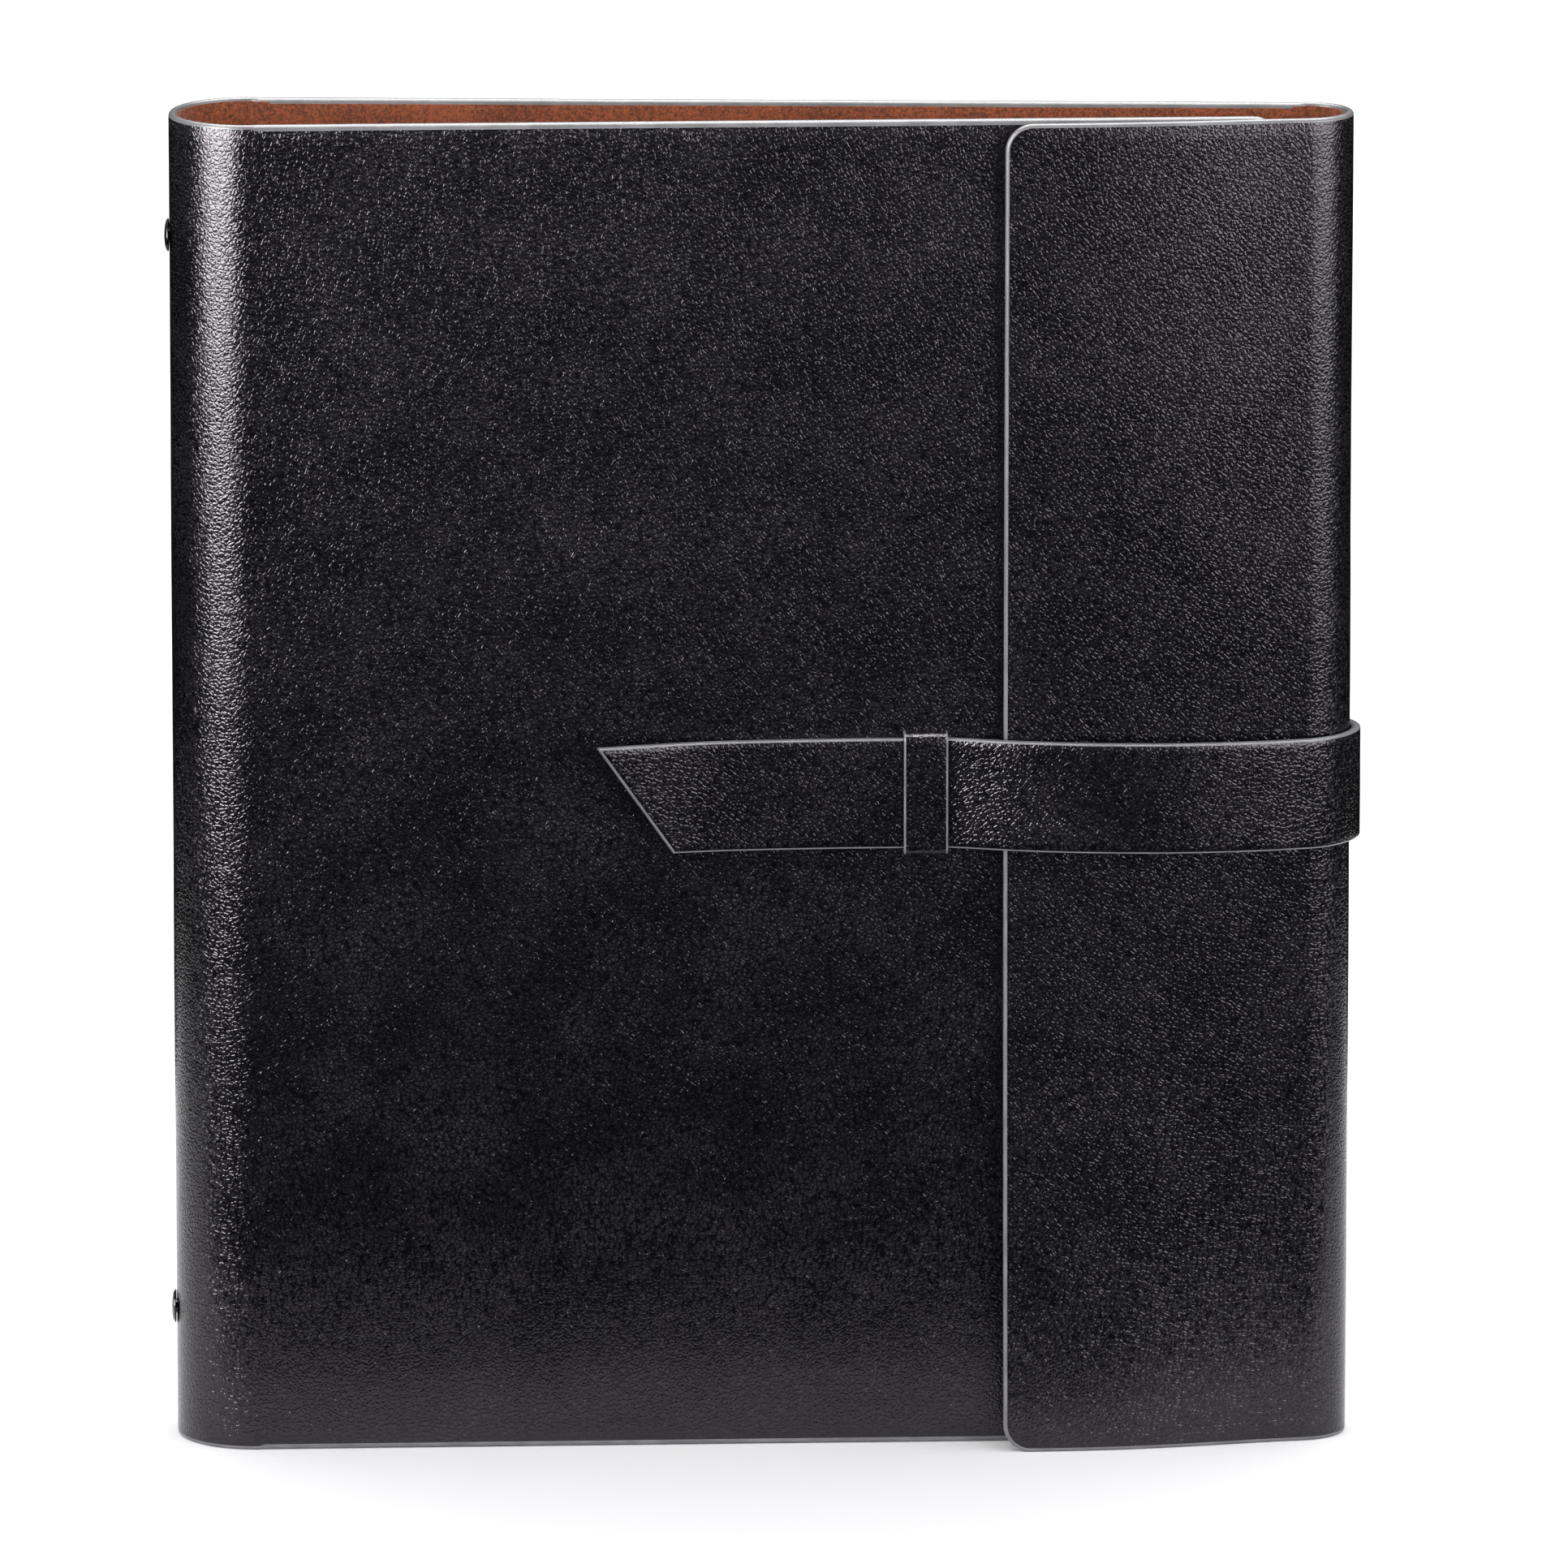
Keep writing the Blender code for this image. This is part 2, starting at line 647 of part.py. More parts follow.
def make_ring_mechanism(steel, body):
    make_ring_plate(steel, body)
    for name, height in zip(("rivet_lower", "rivet_upper"), RIVET_HEIGHTS):
        make_rivet(name, height, steel, body)
    sides = []
    for side, name in ((-1, "front"), (1, "back")):
        place = (BLADE_AXIS, side * BLADE_PIVOT, COVER_HEIGHT / 2)
        carrier = pivot(f"ring_hinge_{name}", place, body)
        sides.append((side, carrier))
        for number, height in enumerate(RING_HEIGHTS, start=1):
            make_half_ring(f"half_ring_{name}_{number}", side, height, steel, carrier)
    make_blades(steel, sides)
    lever_x = BLADE_AXIS + CUT_GAP
    for name, sign, end in (("lower", 1, PLATE_LOW), ("upper", -1, PLATE_HIGH)):
        height = end - sign * LEVER_PIVOT_BEYOND_PLATE
        place = (lever_x, 0.0, height)
        make_lever(f"lever_{name}", sign, steel, pivot(f"lever_hinge_{name}", place, body))
    radius = RIVET_POST_RADIUS + RIVET_HOLE_CLEARANCE
    ends = (-COVER_WIDTH / 2 - LEATHER, -COVER_WIDTH / 2 + 3 * BEND_THICKNESS)
    shapes = [turned_shape([(x, radius) for x in ends], height, HOLE_SIDES) for height in RIVET_HEIGHTS]
    tool = cutter("spine_cutter", *join_shapes(shapes))
    middle = (SPINE_SEGMENTS + 1) // 2
    cut(bpy.data.objects[f"leather_spine_{middle}"], tool)
    cut(bpy.data.objects[f"lining_spine_{middle}"], tool)


def main():
    clear_scene()
    leather = material("black_leather", (0.012, 0.011, 0.012), 0.38)
    lining = material("brown_suede", (0.22, 0.075, 0.034), 0.95)
    board = material("grey_board", (0.30, 0.28, 0.25), 0.9)
    steel = material("bright_steel", (0.60, 0.60, 0.62), 0.22, 1.0)
    spine_pivots = make_spine_pivots()
    fore_pivots = make_fore_edge_pivots()
    make_panel("back", BACK_FACE, BACK_LENGTH, leather, lining, board, None, 0.0)
    make_panel(
        "front", FRONT_FACE, FRONT_LENGTH, leather, lining, board, spine_pivots[-1], CORNER_RADIUS
    )
    make_bends(
        "spine", SPINE_CENTRE, SPINE_RADIUS, SPINE_START, SPINE_TURN, SPINE_SEGMENTS, leather,
        lining, spine_pivots,
    )
    make_bends(
        "fore_edge", FORE_CENTRE, FORE_EDGE_RADIUS, FORE_EDGE_START, -FORE_EDGE_TURN,
        FORE_EDGE_SEGMENTS, leather, lining, fore_pivots,
    )
    make_flap(leather, lining, fore_pivots[-1])
    make_strap(leather, fore_pivots)
    make_keeper(leather, spine_pivots[-1])
    make_ring_mechanism(steel, spine_pivots[(SPINE_SEGMENTS + 1) // 2 - 1])


main()
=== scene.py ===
"""The looks of a leather ring-binder cover that stands closed: its glazed hide with painted edges, its
suede lining, the flap, the strap and its keeper, the spine rivets and the ring mechanism inside.

Places on the hide are (along, height, depth): along its outer face from the front panel's free edge,
round the spine, over the back and round the fore edge to the end of the flap.
"""

import json
import math

import bmesh
import bpy
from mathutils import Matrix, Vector, noise


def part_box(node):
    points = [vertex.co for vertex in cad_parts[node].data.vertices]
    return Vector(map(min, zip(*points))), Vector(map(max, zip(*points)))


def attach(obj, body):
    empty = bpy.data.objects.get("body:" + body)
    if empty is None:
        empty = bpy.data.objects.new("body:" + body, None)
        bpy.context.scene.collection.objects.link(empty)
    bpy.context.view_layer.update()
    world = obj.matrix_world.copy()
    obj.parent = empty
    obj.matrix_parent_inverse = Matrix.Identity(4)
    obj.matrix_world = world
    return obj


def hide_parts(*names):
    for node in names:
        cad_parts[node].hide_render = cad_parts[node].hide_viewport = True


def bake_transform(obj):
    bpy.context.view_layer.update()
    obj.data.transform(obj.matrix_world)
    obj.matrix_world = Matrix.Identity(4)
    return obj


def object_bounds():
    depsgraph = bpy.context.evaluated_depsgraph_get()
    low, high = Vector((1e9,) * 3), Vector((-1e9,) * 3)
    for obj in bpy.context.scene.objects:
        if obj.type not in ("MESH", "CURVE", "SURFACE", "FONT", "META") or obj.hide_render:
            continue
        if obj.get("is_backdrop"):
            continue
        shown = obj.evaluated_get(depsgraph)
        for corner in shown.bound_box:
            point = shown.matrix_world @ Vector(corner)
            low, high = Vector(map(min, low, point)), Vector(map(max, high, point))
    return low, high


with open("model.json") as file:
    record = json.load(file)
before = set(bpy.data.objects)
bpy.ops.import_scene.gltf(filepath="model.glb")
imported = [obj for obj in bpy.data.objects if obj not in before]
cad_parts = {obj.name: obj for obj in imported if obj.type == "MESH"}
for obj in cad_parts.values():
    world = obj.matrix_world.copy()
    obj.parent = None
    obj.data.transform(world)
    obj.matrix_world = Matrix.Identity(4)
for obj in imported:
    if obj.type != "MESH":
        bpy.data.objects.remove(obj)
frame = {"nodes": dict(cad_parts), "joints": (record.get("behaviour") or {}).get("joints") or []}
cad_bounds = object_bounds()

MM = 0.001

# Leather, lining and edges
PANEL_THICKNESS = 2.5 * MM
BEND_THICKNESS = 1.7 * MM
BOARD_STEP = (0.2 * MM, 1.9 * MM)
LINING_SHOWS = 0.06 * MM
LINING_SINKS = 0.15 * MM
CORNER = 6.0 * MM
SPINE_SEAM = 4.0 * MM
FORE_SEAM = 3.0 * MM
SEAM_LIP = 0.05 * MM
PANEL_STEP = 3.6 * MM
BEND_STEP = 0.45 * MM
LONGEST_BEND = 20.0 * MM
BEND_MARGIN = 1.0 * MM
SEAM_DRAW = 0.06
RIM_STEPS = 8
CORNER_STEPS = 9

# The leather's unevenness: pitch along, pitch up, height and place in the noise
SLOW_WAVE = (0.047, 0.061, 0.16 * MM, 3.7)
COBBLE = (0.011, 0.013, 0.025 * MM, 9.1)
STRAP_WAVE = (0.016, 0.014, 0.05 * MM, 5.5)

# How far the flap springs off the front panel at its free edge: top, under the strap, bottom
FLAP_SPRING_TOP = 4.0 * MM
FLAP_SPRING_MIDDLE = 1.4 * MM
FLAP_SPRING_BOTTOM = 7.5 * MM
FLAP_SPRING_CURVE = 1.6
SPRING_START = 8.0 * MM

# Strap
STRAP_THICKNESS = 2.0 * MM
STRAP_GAP = 0.3 * MM
STRAP_SLANT = 16.6 * MM
STRAP_ROUNDNESS = 0.5
STRAP_ROWS = 16
TIP_COLUMNS = 74
TURN_STEP = 0.5 * MM
CORNER_DRAW = 1.75

# Seams across the strap, in millimetres past the fore edge's turn
STRAP_SEAMS = (2, 14, 24, 54, 62, 77)

# How far the strap bows out from lying flat, at distances past that turn, in millimetres
STRAP_BOW = (
    (-16, 0.0), (-5, 1.7), (10, 4.6), (28, 6.0), (46, 5.0), (62, 2.3), (70, 0.1), (77, -1.75),
    (87, -2.0), (105, -1.8), (130, -0.2), (152, 4.6),
)

# Keeper
KEEPER_WALL = 0.9 * MM
KEEPER_FOOT = -0.7 * MM
KEEPER_BEND = 1.1 * MM
KEEPER_CLEARANCE = 0.35 * MM
KEEPER_STEP = 0.3 * MM

# Stitches
STITCH_PITCH = 3.6 * MM
STITCH_LENGTH = 2.7 * MM
THREAD_RADIUS = 0.32 * MM
STITCH_INSET = 2.6 * MM
STITCH_SINK = -0.05 * MM
STITCHED_SHARE = 0.55

# Metal
METAL_SMOOTH = 40
RING_WIRE = 2.8 * MM
RING_RADIUS = 10.0 * MM
RING_FOOT = 6.2 * MM
RING_TIP_ANGLE = 0.015
RING_STEPS = 40
PLATE_BEVEL = 0.18 * MM
LEVER_BEVEL = 0.45 * MM
RIVET_LIFT = 0.15 * MM
RIVET_POST = 1.5 * MM
RIVET_WASHER = 2.7 * MM
DOME_STEPS = 12

# Rivet heads: shares of the head's rise and radius, for the dome and then down the rim
DOME_SHARE = (0.80, 0.93)
RIM_SHARES = ((0.2, 0.97), (0.1, 1.0), (0.0, 0.985))

# Camera
CAMERA_DISTANCE = 4.2
CAMERA_AZIMUTH = math.radians(-0.32)
CAMERA_ELEVATION = math.radians(12.8)
CAMERA_AIM = (4.9 * MM, -2.0 * MM)
CAMERA_LENS = 446.6

# Stage
FLOOR_REACH = 9.0
CARD_LEVEL = 1.2 * MM
CARD_REACH = 4.0
CARD_OPENING = (0.40, -0.075, 0.30)
STUDIO_WHITE = (1.0, 1.0, 1.01, 1.0)
STUDIO_DARK = (0.03, 0.03, 0.033, 1.0)
STUDIO_STRENGTH = 1.5


# Lines of the frame

HINGE = {joint["name"]: Vector(joint["pos_m"]) for joint in frame["joints"]}
SPINE_HINGES = [HINGE["front_open"]] + [HINGE[f"spine_bend_{number}"] for number in range(2, 7)]
FORE_HINGES = [HINGE["flap_open"]] + [HINGE[f"fore_edge_bend_{number}"] for number in range(2, 5)]
SPINE_BODIES = ["back"] + [f"spine_{number}" for number in range(1, 6)] + ["front"]
FORE_BODIES = ["back"] + [f"fore_edge_{number}" for number in range(1, 4)] + ["flap"]
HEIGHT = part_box("leather_back")[1].z


def plan(point):
    return Vector((point.x, point.y))


def circle_through(first, second, third):
    """Centre and radius of the circle through three plan points."""
    a, b, c = plan(first), plan(second), plan(third)
    side, other = b - a, c - a
    area = 2 * (side.x * other.y - side.y * other.x)
    centre = a + Vector(
        (
            (other.y * side.length_squared - side.y * other.length_squared) / area,
            (side.x * other.length_squared - other.x * side.length_squared) / area,
        )
    )
    return centre, (a - centre).length


class Straight:
    """A straight run in plan, with its outside on the left of its travel."""

    def __init__(self, start, end):
        self.start = start
        self.length = (end - start).length
        self.along = (end - start).normalized()
        self.outward = Vector((-self.along.y, self.along.x))

    def at(self, distance):
        return self.start + self.along * distance, self.outward


class Turn:
    """A right-hand bend in plan, from one angle round to another."""

    def __init__(self, centre, radius, first, last):
        self.centre = centre
        self.radius = radius
        self.first = first
        self.length = radius * ((first - last) % (2 * math.pi))

    def at(self, distance):
        angle = self.first - distance / self.radius
        outward = Vector((math.cos(angle), math.sin(angle)))
        return self.centre + outward * self.radius, outward


class Route:
    """Runs and bends laid end to end."""

    def __init__(self, *parts):
        self.parts = parts

    def at(self, distance):
        for part in self.parts[:-1]:
            if distance <= part.length:
                return part.at(distance)
            distance -= part.length
        return self.parts[-1].at(distance)


def angle_of(centre, point):
    offset = plan(point) - centre
    return math.atan2(offset.y, offset.x)


SPINE_CENTRE, SPINE_RADIUS = circle_through(SPINE_HINGES[0], SPINE_HINGES[2], SPINE_HINGES[5])
FORE_CENTRE, FORE_RADIUS = circle_through(FORE_HINGES[0], FORE_HINGES[1], FORE_HINGES[3])
FRONT_OUT = (plan(SPINE_HINGES[5]) - SPINE_CENTRE).normalized()
FRONT_RUN = Vector((-FRONT_OUT.y, FRONT_OUT.x))
FRONT_START = plan(SPINE_HINGES[5])
FRONT_LENGTH = (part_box("leather_front")[1].x - FRONT_START.x) / FRONT_RUN.x
FLAP_START = plan(FORE_HINGES[3])
FLAP_LENGTH = (FLAP_START.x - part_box("leather_flap")[0].x) / FRONT_RUN.x
HIDE = Route(
    Straight(FRONT_START + FRONT_RUN * FRONT_LENGTH, FRONT_START),
    Turn(
        SPINE_CENTRE, SPINE_RADIUS, angle_of(SPINE_CENTRE, SPINE_HINGES[5]),
        angle_of(SPINE_CENTRE, SPINE_HINGES[0]),
    ),
    Straight(plan(SPINE_HINGES[0]), plan(FORE_HINGES[0])),
    Turn(
        FORE_CENTRE, FORE_RADIUS, angle_of(FORE_CENTRE, FORE_HINGES[0]),
        angle_of(FORE_CENTRE, FORE_HINGES[3]),
    ),
    Straight(FLAP_START, FLAP_START - FRONT_RUN * FLAP_LENGTH),
)
SPINE_FROM = HIDE.parts[0].length
SPINE_TO = SPINE_FROM + HIDE.parts[1].length
FORE_FROM = SPINE_TO + HIDE.parts[2].length
FORE_TO = FORE_FROM + HIDE.parts[3].length


def ease(value, low=0.0, high=1.0):
    share = min(max((value - low) / (high - low), 0.0), 1.0)
    return share * share * (3 - 2 * share)


def through(points, value):
    """A smooth line through given points, in millimetres on both axes."""
    value /= MM
    if value <= points[0][0]:
        return points[0][1] * MM
    for index in range(len(points) - 1):
        (x0, y0), (x1, y1) = points[index], points[index + 1]
        if value <= x1 or index == len(points) - 2:
            before = points[max(index - 1, 0)]
            after = points[min(index + 2, len(points) - 1)]
            slope0 = (y1 - before[1]) / (x1 - before[0]) if index else 0.0
            slope1 = (after[1] - y0) / (after[0] - x0)
            step = x1 - x0
            t = (value - x0) / step
            return MM * (
                y0 * (1 + 2 * t) * (1 - t) ** 2 + slope0 * step * t * (1 - t) ** 2
                + y1 * t * t * (3 - 2 * t) - slope1 * step * t * t * (1 - t)
            )


# The hide's shape

def hide_thickness(along):
    """Boards thicken the two panels; the bends and the flap are leather and lining alone."""
    inside = min(SPINE_FROM - along, 1.0) if along < SPINE_FROM else 0.0
    if SPINE_TO < along < FORE_FROM:
        inside = min(along - SPINE_TO, FORE_FROM - along)
    return BEND_THICKNESS + (PANEL_THICKNESS - BEND_THICKNESS) * ease(inside, *BOARD_STEP)


def flap_spring(along, height):
    """The flap springs off like a thin strip held at the fore edge, most at its two corners."""
    past = along - FORE_TO
    share = min(max((past + SPRING_START) / (FLAP_LENGTH + SPRING_START), 0.0), 1.0)
    rise = share * share * (6 - 8 * share + 3 * share * share)
    level = height / HEIGHT
    reach = (FLAP_SPRING_TOP if level > 0.5 else FLAP_SPRING_BOTTOM) - FLAP_SPRING_MIDDLE
    return rise * (FLAP_SPRING_MIDDLE + reach * abs(2 * level - 1) ** FLAP_SPRING_CURVE)


def wave(shape, along, height):
    pitch_along, pitch_up, rise, seed = shape
    return rise * noise.noise(Vector((along / pitch_along, height / pitch_up, seed)))


def swell(along, height):
    """The leather's own unevenness: slow waves and a faint cobble."""
    return wave(SLOW_WAVE, along, height) + wave(COBBLE, along, height)


def hide_point(along, height, depth):
    place, outward = HIDE.at(along)
    spot = place - outward * (depth - swell(along, height))
    spot = spot + FRONT_OUT * flap_spring(along, height)
    return Vector((spot.x, spot.y, height))


# Mesh making

def without_doubles(loop):
    return [corner for index, corner in enumerate(loop) if corner not in loop[:index]]


def link(name, mesh, *finishes):
    made = bpy.data.objects.new(name, mesh)
    bpy.context.scene.collection.objects.link(made)
    for finish in finishes:
        mesh.materials.append(finish)
    return made


def settle(mesh_build, name, smooth_angle=50):
    """A bmesh turned into a mesh with its faces outwards and its corners sharp."""
    bmesh.ops.recalc_face_normals(mesh_build, faces=mesh_build.faces)
    mesh = bpy.data.meshes.new(name)
    mesh_build.to_mesh(mesh)
    mesh_build.free()
    mesh.shade_smooth()
    mesh.set_sharp_from_angle(angle=math.radians(smooth_angle))
    return mesh


def sheet(name, grid, rims, wall, place, finishes, caps, roundness=1.0):
    """A closed sheet with rounded rims.

    grid holds columns of (along, height) on the outer face. rims are runs of (column, row, outward
    direction). wall gives the thickness, place the world point, and caps the columns cut off flat.
    finishes are the outer face's, the rims' and the inner face's. A rim stands out by half the
    thickness times its roundness."""
    build = bmesh.new()
    lie = build.verts.layers.float_vector.new("lie")

    def corner(along, height, depth):
        made = build.verts.new(place(along, height, depth))
        made[lie] = (along, height, depth)
        return made

    outer = [[corner(a, h, 0.0) for a, h in column] for column in grid]
    inner = [[corner(a, h, wall(a)) for a, h in column] for column in grid]
    for face_of, kind in ((outer, 0), (inner, 2)):
        for near, far in zip(face_of, face_of[1:]):
            for row in range(len(near) - 1):
                quad = build.faces.new((near[row], far[row], far[row + 1], near[row + 1]))
                quad.material_index = kind
    ends = {}
    for run in rims:
        strings = []
        for column, row, (na, nh) in run:
            along, height = grid[column][row]
            radius = wall(along) / 2
            string = [outer[column][row]]
            for step in range(1, RIM_STEPS):
                angle = math.pi * step / RIM_STEPS
                reach = radius * roundness * math.sin(angle)
                string.append(
                    corner(along + na * reach, height + nh * reach, radius * (1 - math.cos(angle)))
                )
            string.append(inner[column][row])
            strings.append(string)
            ends[column, row, len(strings) == 1 or len(strings) == len(run)] = string
        for near, far in zip(strings, strings[1:]):
            for step in range(RIM_STEPS):
                loop = without_doubles([near[step], far[step], far[step + 1], near[step + 1]])
                if len(loop) > 2:
                    build.faces.new(loop).material_index = 1
    for column in caps:
        last = len(grid[column]) - 1
        for row in range(last):
            build.faces.new(
                (outer[column][row], outer[column][row + 1], inner[column][row + 1], inner[column][row])
            ).material_index = 1
        for row in (0, last):
            build.faces.new(ends[column, row, True]).material_index = 1
    return link(name, settle(build, name), *finishes)


def spread(start, end, step, lips=(True, True)):
    """Even stations from start to end, with a narrow lip at each seam."""
    count = max(int(math.ceil(abs(end - start) / step)), 1)
    values = [start + (end - start) * index / count for index in range(count + 1)]
    sign = math.copysign(1.0, end - start)
    if lips[0]:
        values.insert(1, start + sign * SEAM_LIP)
    if lips[1]:
        values.insert(-1, end - sign * SEAM_LIP)
    return values


def column_of(along, low, high, rows):
    return [(along, low + (high - low) * row / rows) for row in range(rows + 1)]


def strip_grid(stations, low, high, rows, wall, inset=0.0):
    """Columns across a strip, kept clear of its rims, and the two rim runs."""
    grid = []
    for along in stations:
        edge = wall(along) / 2 + inset
        grid.append(column_of(along, low + edge, high - edge, rows))
    columns = range(len(stations))
    rims = [
        [(column, 0, (0.0, -1.0)) for column in columns],
        [(column, rows, (0.0, 1.0)) for column in columns],
    ]
    return grid, rims


def panel_grid(seam, free, low, high, rows, wall, radius, inset=0.0):
    """A panel whose free end has two rounded corners; its one rim runs right round them."""
    sign = math.copysign(1.0, free - seam)
    free_edge = wall(free) / 2 + inset
    turn = radius - free_edge
    knee = free - sign * (free_edge + turn)
    angles = [math.pi / 2 * (1 - step / CORNER_STEPS) for step in range(1, CORNER_STEPS + 1)]
    stations = spread(seam, knee, PANEL_STEP, (True, False))
    lifts = [0.0] * len(stations)
    normals = [(0.0, 1.0)] * len(stations)
    for angle in angles:
        stations.append(knee + sign * turn * math.cos(angle))
        lifts.append(turn * (1 - math.sin(angle)))
        normals.append((sign * math.cos(angle), math.sin(angle)))
    grid = []
    for along, lift in zip(stations, lifts):
        edge = wall(along) / 2 + inset
        grid.append(column_of(along, low + edge + lift, high - edge - lift, rows))
    last = len(stations) - 1
    run = [(column, 0, (normals[column][0], -normals[column][1])) for column in range(last)]
    run += [(last, row, (sign, 0.0)) for row in range(rows + 1)]
    run += [(column, rows, normals[column]) for column in reversed(range(last))]
    return grid, [run]


# Shader maths

class Number:
    """A value that changes over a surface. Sums on it add the nodes that work it out."""

    def __init__(self, finish, socket):
        self.finish = finish
        self.socket = socket

    def sum(self, operation, first, second=0.0):
        made = self.finish.node("ShaderNodeMath", {"operation": operation}, {0: first, 1: second})
        return Number(self.finish, made.outputs[0])

    def __add__(self, other):
        return self.sum("ADD", self, other)

    def __sub__(self, other):
        return self.sum("SUBTRACT", self, other)

    def __rsub__(self, other):
        return self.sum("SUBTRACT", other, self)

    def __mul__(self, other):
        return self.sum("MULTIPLY", self, other)

    __radd__ = __add__
    __rmul__ = __mul__

    def between(self, low, high):
        """0 below low and 1 above high, with a soft change between them."""
        made = self.finish.node(
            "ShaderNodeMapRange", {"interpolation_type": "SMOOTHSTEP"},
            {"Value": self, "From Min": low, "From Max": high},
        )
        return Number(self.finish, made.outputs["Result"])


class Finish:
    """A material being made: its Principled shader and the nodes that feed it."""

    def __init__(self, name, roughness=0.5, metallic=0.0, **constants):
        self.material = bpy.data.materials.new(name)
        self.material.use_nodes = True
        self.tree = self.material.node_tree
        self.shader = self.tree.nodes["Principled BSDF"]
        self.set("Roughness", roughness)
        self.set("Metallic", metallic)
        for socket, value in constants.items():
            self.set(socket.replace("_", " "), value)

    def set(self, socket, value):
        self.fill(self.shader.inputs[socket], value)

    def fill(self, socket, value):
        if isinstance(value, Number):
            value = value.socket
        if isinstance(value, bpy.types.NodeSocket):
            self.tree.links.new(value, socket)
        elif isinstance(value, tuple) and len(value) == 3 and socket.type == "RGBA":
            socket.default_value = (*value, 1.0)
        else:
            socket.default_value = value

    def node(self, kind, settings=None, sockets=None):
        """Any node: its type, its settings, and its sockets' values or links."""
        made = self.tree.nodes.new(kind)
        for key, value in (settings or {}).items():
            setattr(made, key, value)
        for key, value in (sockets or {}).items():
            self.fill(made.inputs[key], value)
        return made

    def lie(self, along=1.0, height=1.0, depth=1.0):
        """The place on the leather in millimetres, stretched by a factor each way."""
        place = self.node("ShaderNodeAttribute", {"attribute_name": "lie"}).outputs["Vector"]
        return self.scaled(place, along, height, depth)

    def here(self, x=1.0, y=1.0, z=1.0):
        """The object's own coordinates in millimetres, stretched by a factor each way."""
        place = self.node("ShaderNodeTexCoord").outputs["Object"]
        return self.scaled(place, x, y, z)

    def scaled(self, vector, x, y, z):
        made = self.node(
            "ShaderNodeVectorMath", {"operation": "MULTIPLY"},
            {0: vector, 1: (x / MM, y / MM, z / MM)},
        )
        return made.outputs[0]

    def noise(self, place, size, detail=3.0, roughness=0.5, warp=0.0):
        made = self.node(
            "ShaderNodeTexNoise", {},
            {"Vector": place, "Scale": 1 / size, "Detail": detail, "Roughness": roughness,
             "Distortion": warp},
        )
        return Number(self, made.outputs[0])

    def stirred(self, place, size, amount):
        """A place pushed about by noise."""
        cloud = self.node("ShaderNodeTexNoise", {}, {"Vector": place, "Scale": 1 / size, "Detail": 2.0})
        push = self.node(
            "ShaderNodeVectorMath", {"operation": "MULTIPLY_ADD"},
            {0: cloud.outputs["Color"], 1: (amount,) * 3, 2: place},
        )
        return push.outputs[0]

    def cells(self, place, size):
        """The distance from the lines between cells of a size."""
        made = self.node(
            "ShaderNodeTexVoronoi", {"feature": "DISTANCE_TO_EDGE"},
            {"Vector": place, "Scale": 1 / size},
        )
        return Number(self, made.outputs["Distance"])

    def blend(self, share, low, high):
        made = self.node("ShaderNodeMix", {"data_type": "RGBA"}, {0: share, 6: low, 7: high})
        return made.outputs[2]

    def bump(self, height, distance, strength=1.0):
        made = self.node(
            "ShaderNodeBump", {}, {"Height": height, "Distance": distance, "Strength": strength}
        )
        self.set("Normal", made.outputs[0])


def glazed_leather():
    """Black hide with a fine pebble, long shallow wrinkles and a cloudy glaze; glints are painted lighter
    on the pebble's ridges and shade darker in its valleys.
    """
    finish = Finish("glazed_black_leather", Specular_IOR_Level=0.5, Coat_Roughness=0.14,
                    Specular_Tint=(1.0, 0.93, 1.0))
    place = finish.stirred(finish.lie(), 1.9, 1.2)
    pebble = finish.cells(place, 1.0).between(0.0, 0.30)
    small = finish.cells(finish.stirred(finish.lie(1.0, 0.8), 1.3, 0.6), 0.55).between(0.0, 0.30)
    wrinkle_place = finish.stirred(finish.lie(0.7, 0.9), 6.0, 5.0)
    wrinkle = finish.cells(wrinkle_place, 3.1).between(0.0, 0.10)
    patches = finish.noise(finish.lie(), 34.0, 2.0).between(0.36, 0.70)
    cloud = finish.noise(finish.lie(), 21.0, 4.0, 0.6)
    haze = finish.noise(finish.lie(0.6, 1.0), 62.0, 2.0)
    height = 0.85 * pebble + 0.25 * small + 0.12 * patches * wrinkle
    height = height + 0.5 * finish.noise(finish.lie(), 4.5, 3.0)
    finish.bump(height, 0.058 * MM)
    # Painted light: the pebble's ridges are coloured lighter as painted glints and its valleys darker as
    # painted shade; the cloud varies the glints' strength at random.
    painted_glint_and_shade = pebble * (0.35 + 0.65 * cloud.between(0.35, 0.7))
    finish.set("Base Color", finish.blend(painted_glint_and_shade, (0.0014, 0.0012, 0.0016), (0.0165, 0.0152, 0.0178)))
    finish.set("Roughness", 0.10 + 0.07 * cloud + 0.05 * haze)
    finish.set("Coat Weight", 0.02 + 0.12 * haze)
    return finish.material


def painted_edge():
    """Grey edge paint over the cut, slightly uneven and rubbed."""
    finish = Finish("grey_edge_paint", 0.34)
    streak = finish.noise(finish.lie(0.15, 0.15, 1.0), 0.9, 3.0)
    speck = finish.noise(finish.lie(), 0.5, 3.0, 0.6)
    finish.bump(0.6 * speck + 0.8 * streak, 0.05 * MM)
    grey = finish.blend(streak.between(0.3, 0.7), (0.13, 0.129, 0.134), (0.19, 0.188, 0.194))
    finish.set("Base Color", grey)
    finish.set("Roughness", 0.26 + 0.22 * speck)
    return finish.material


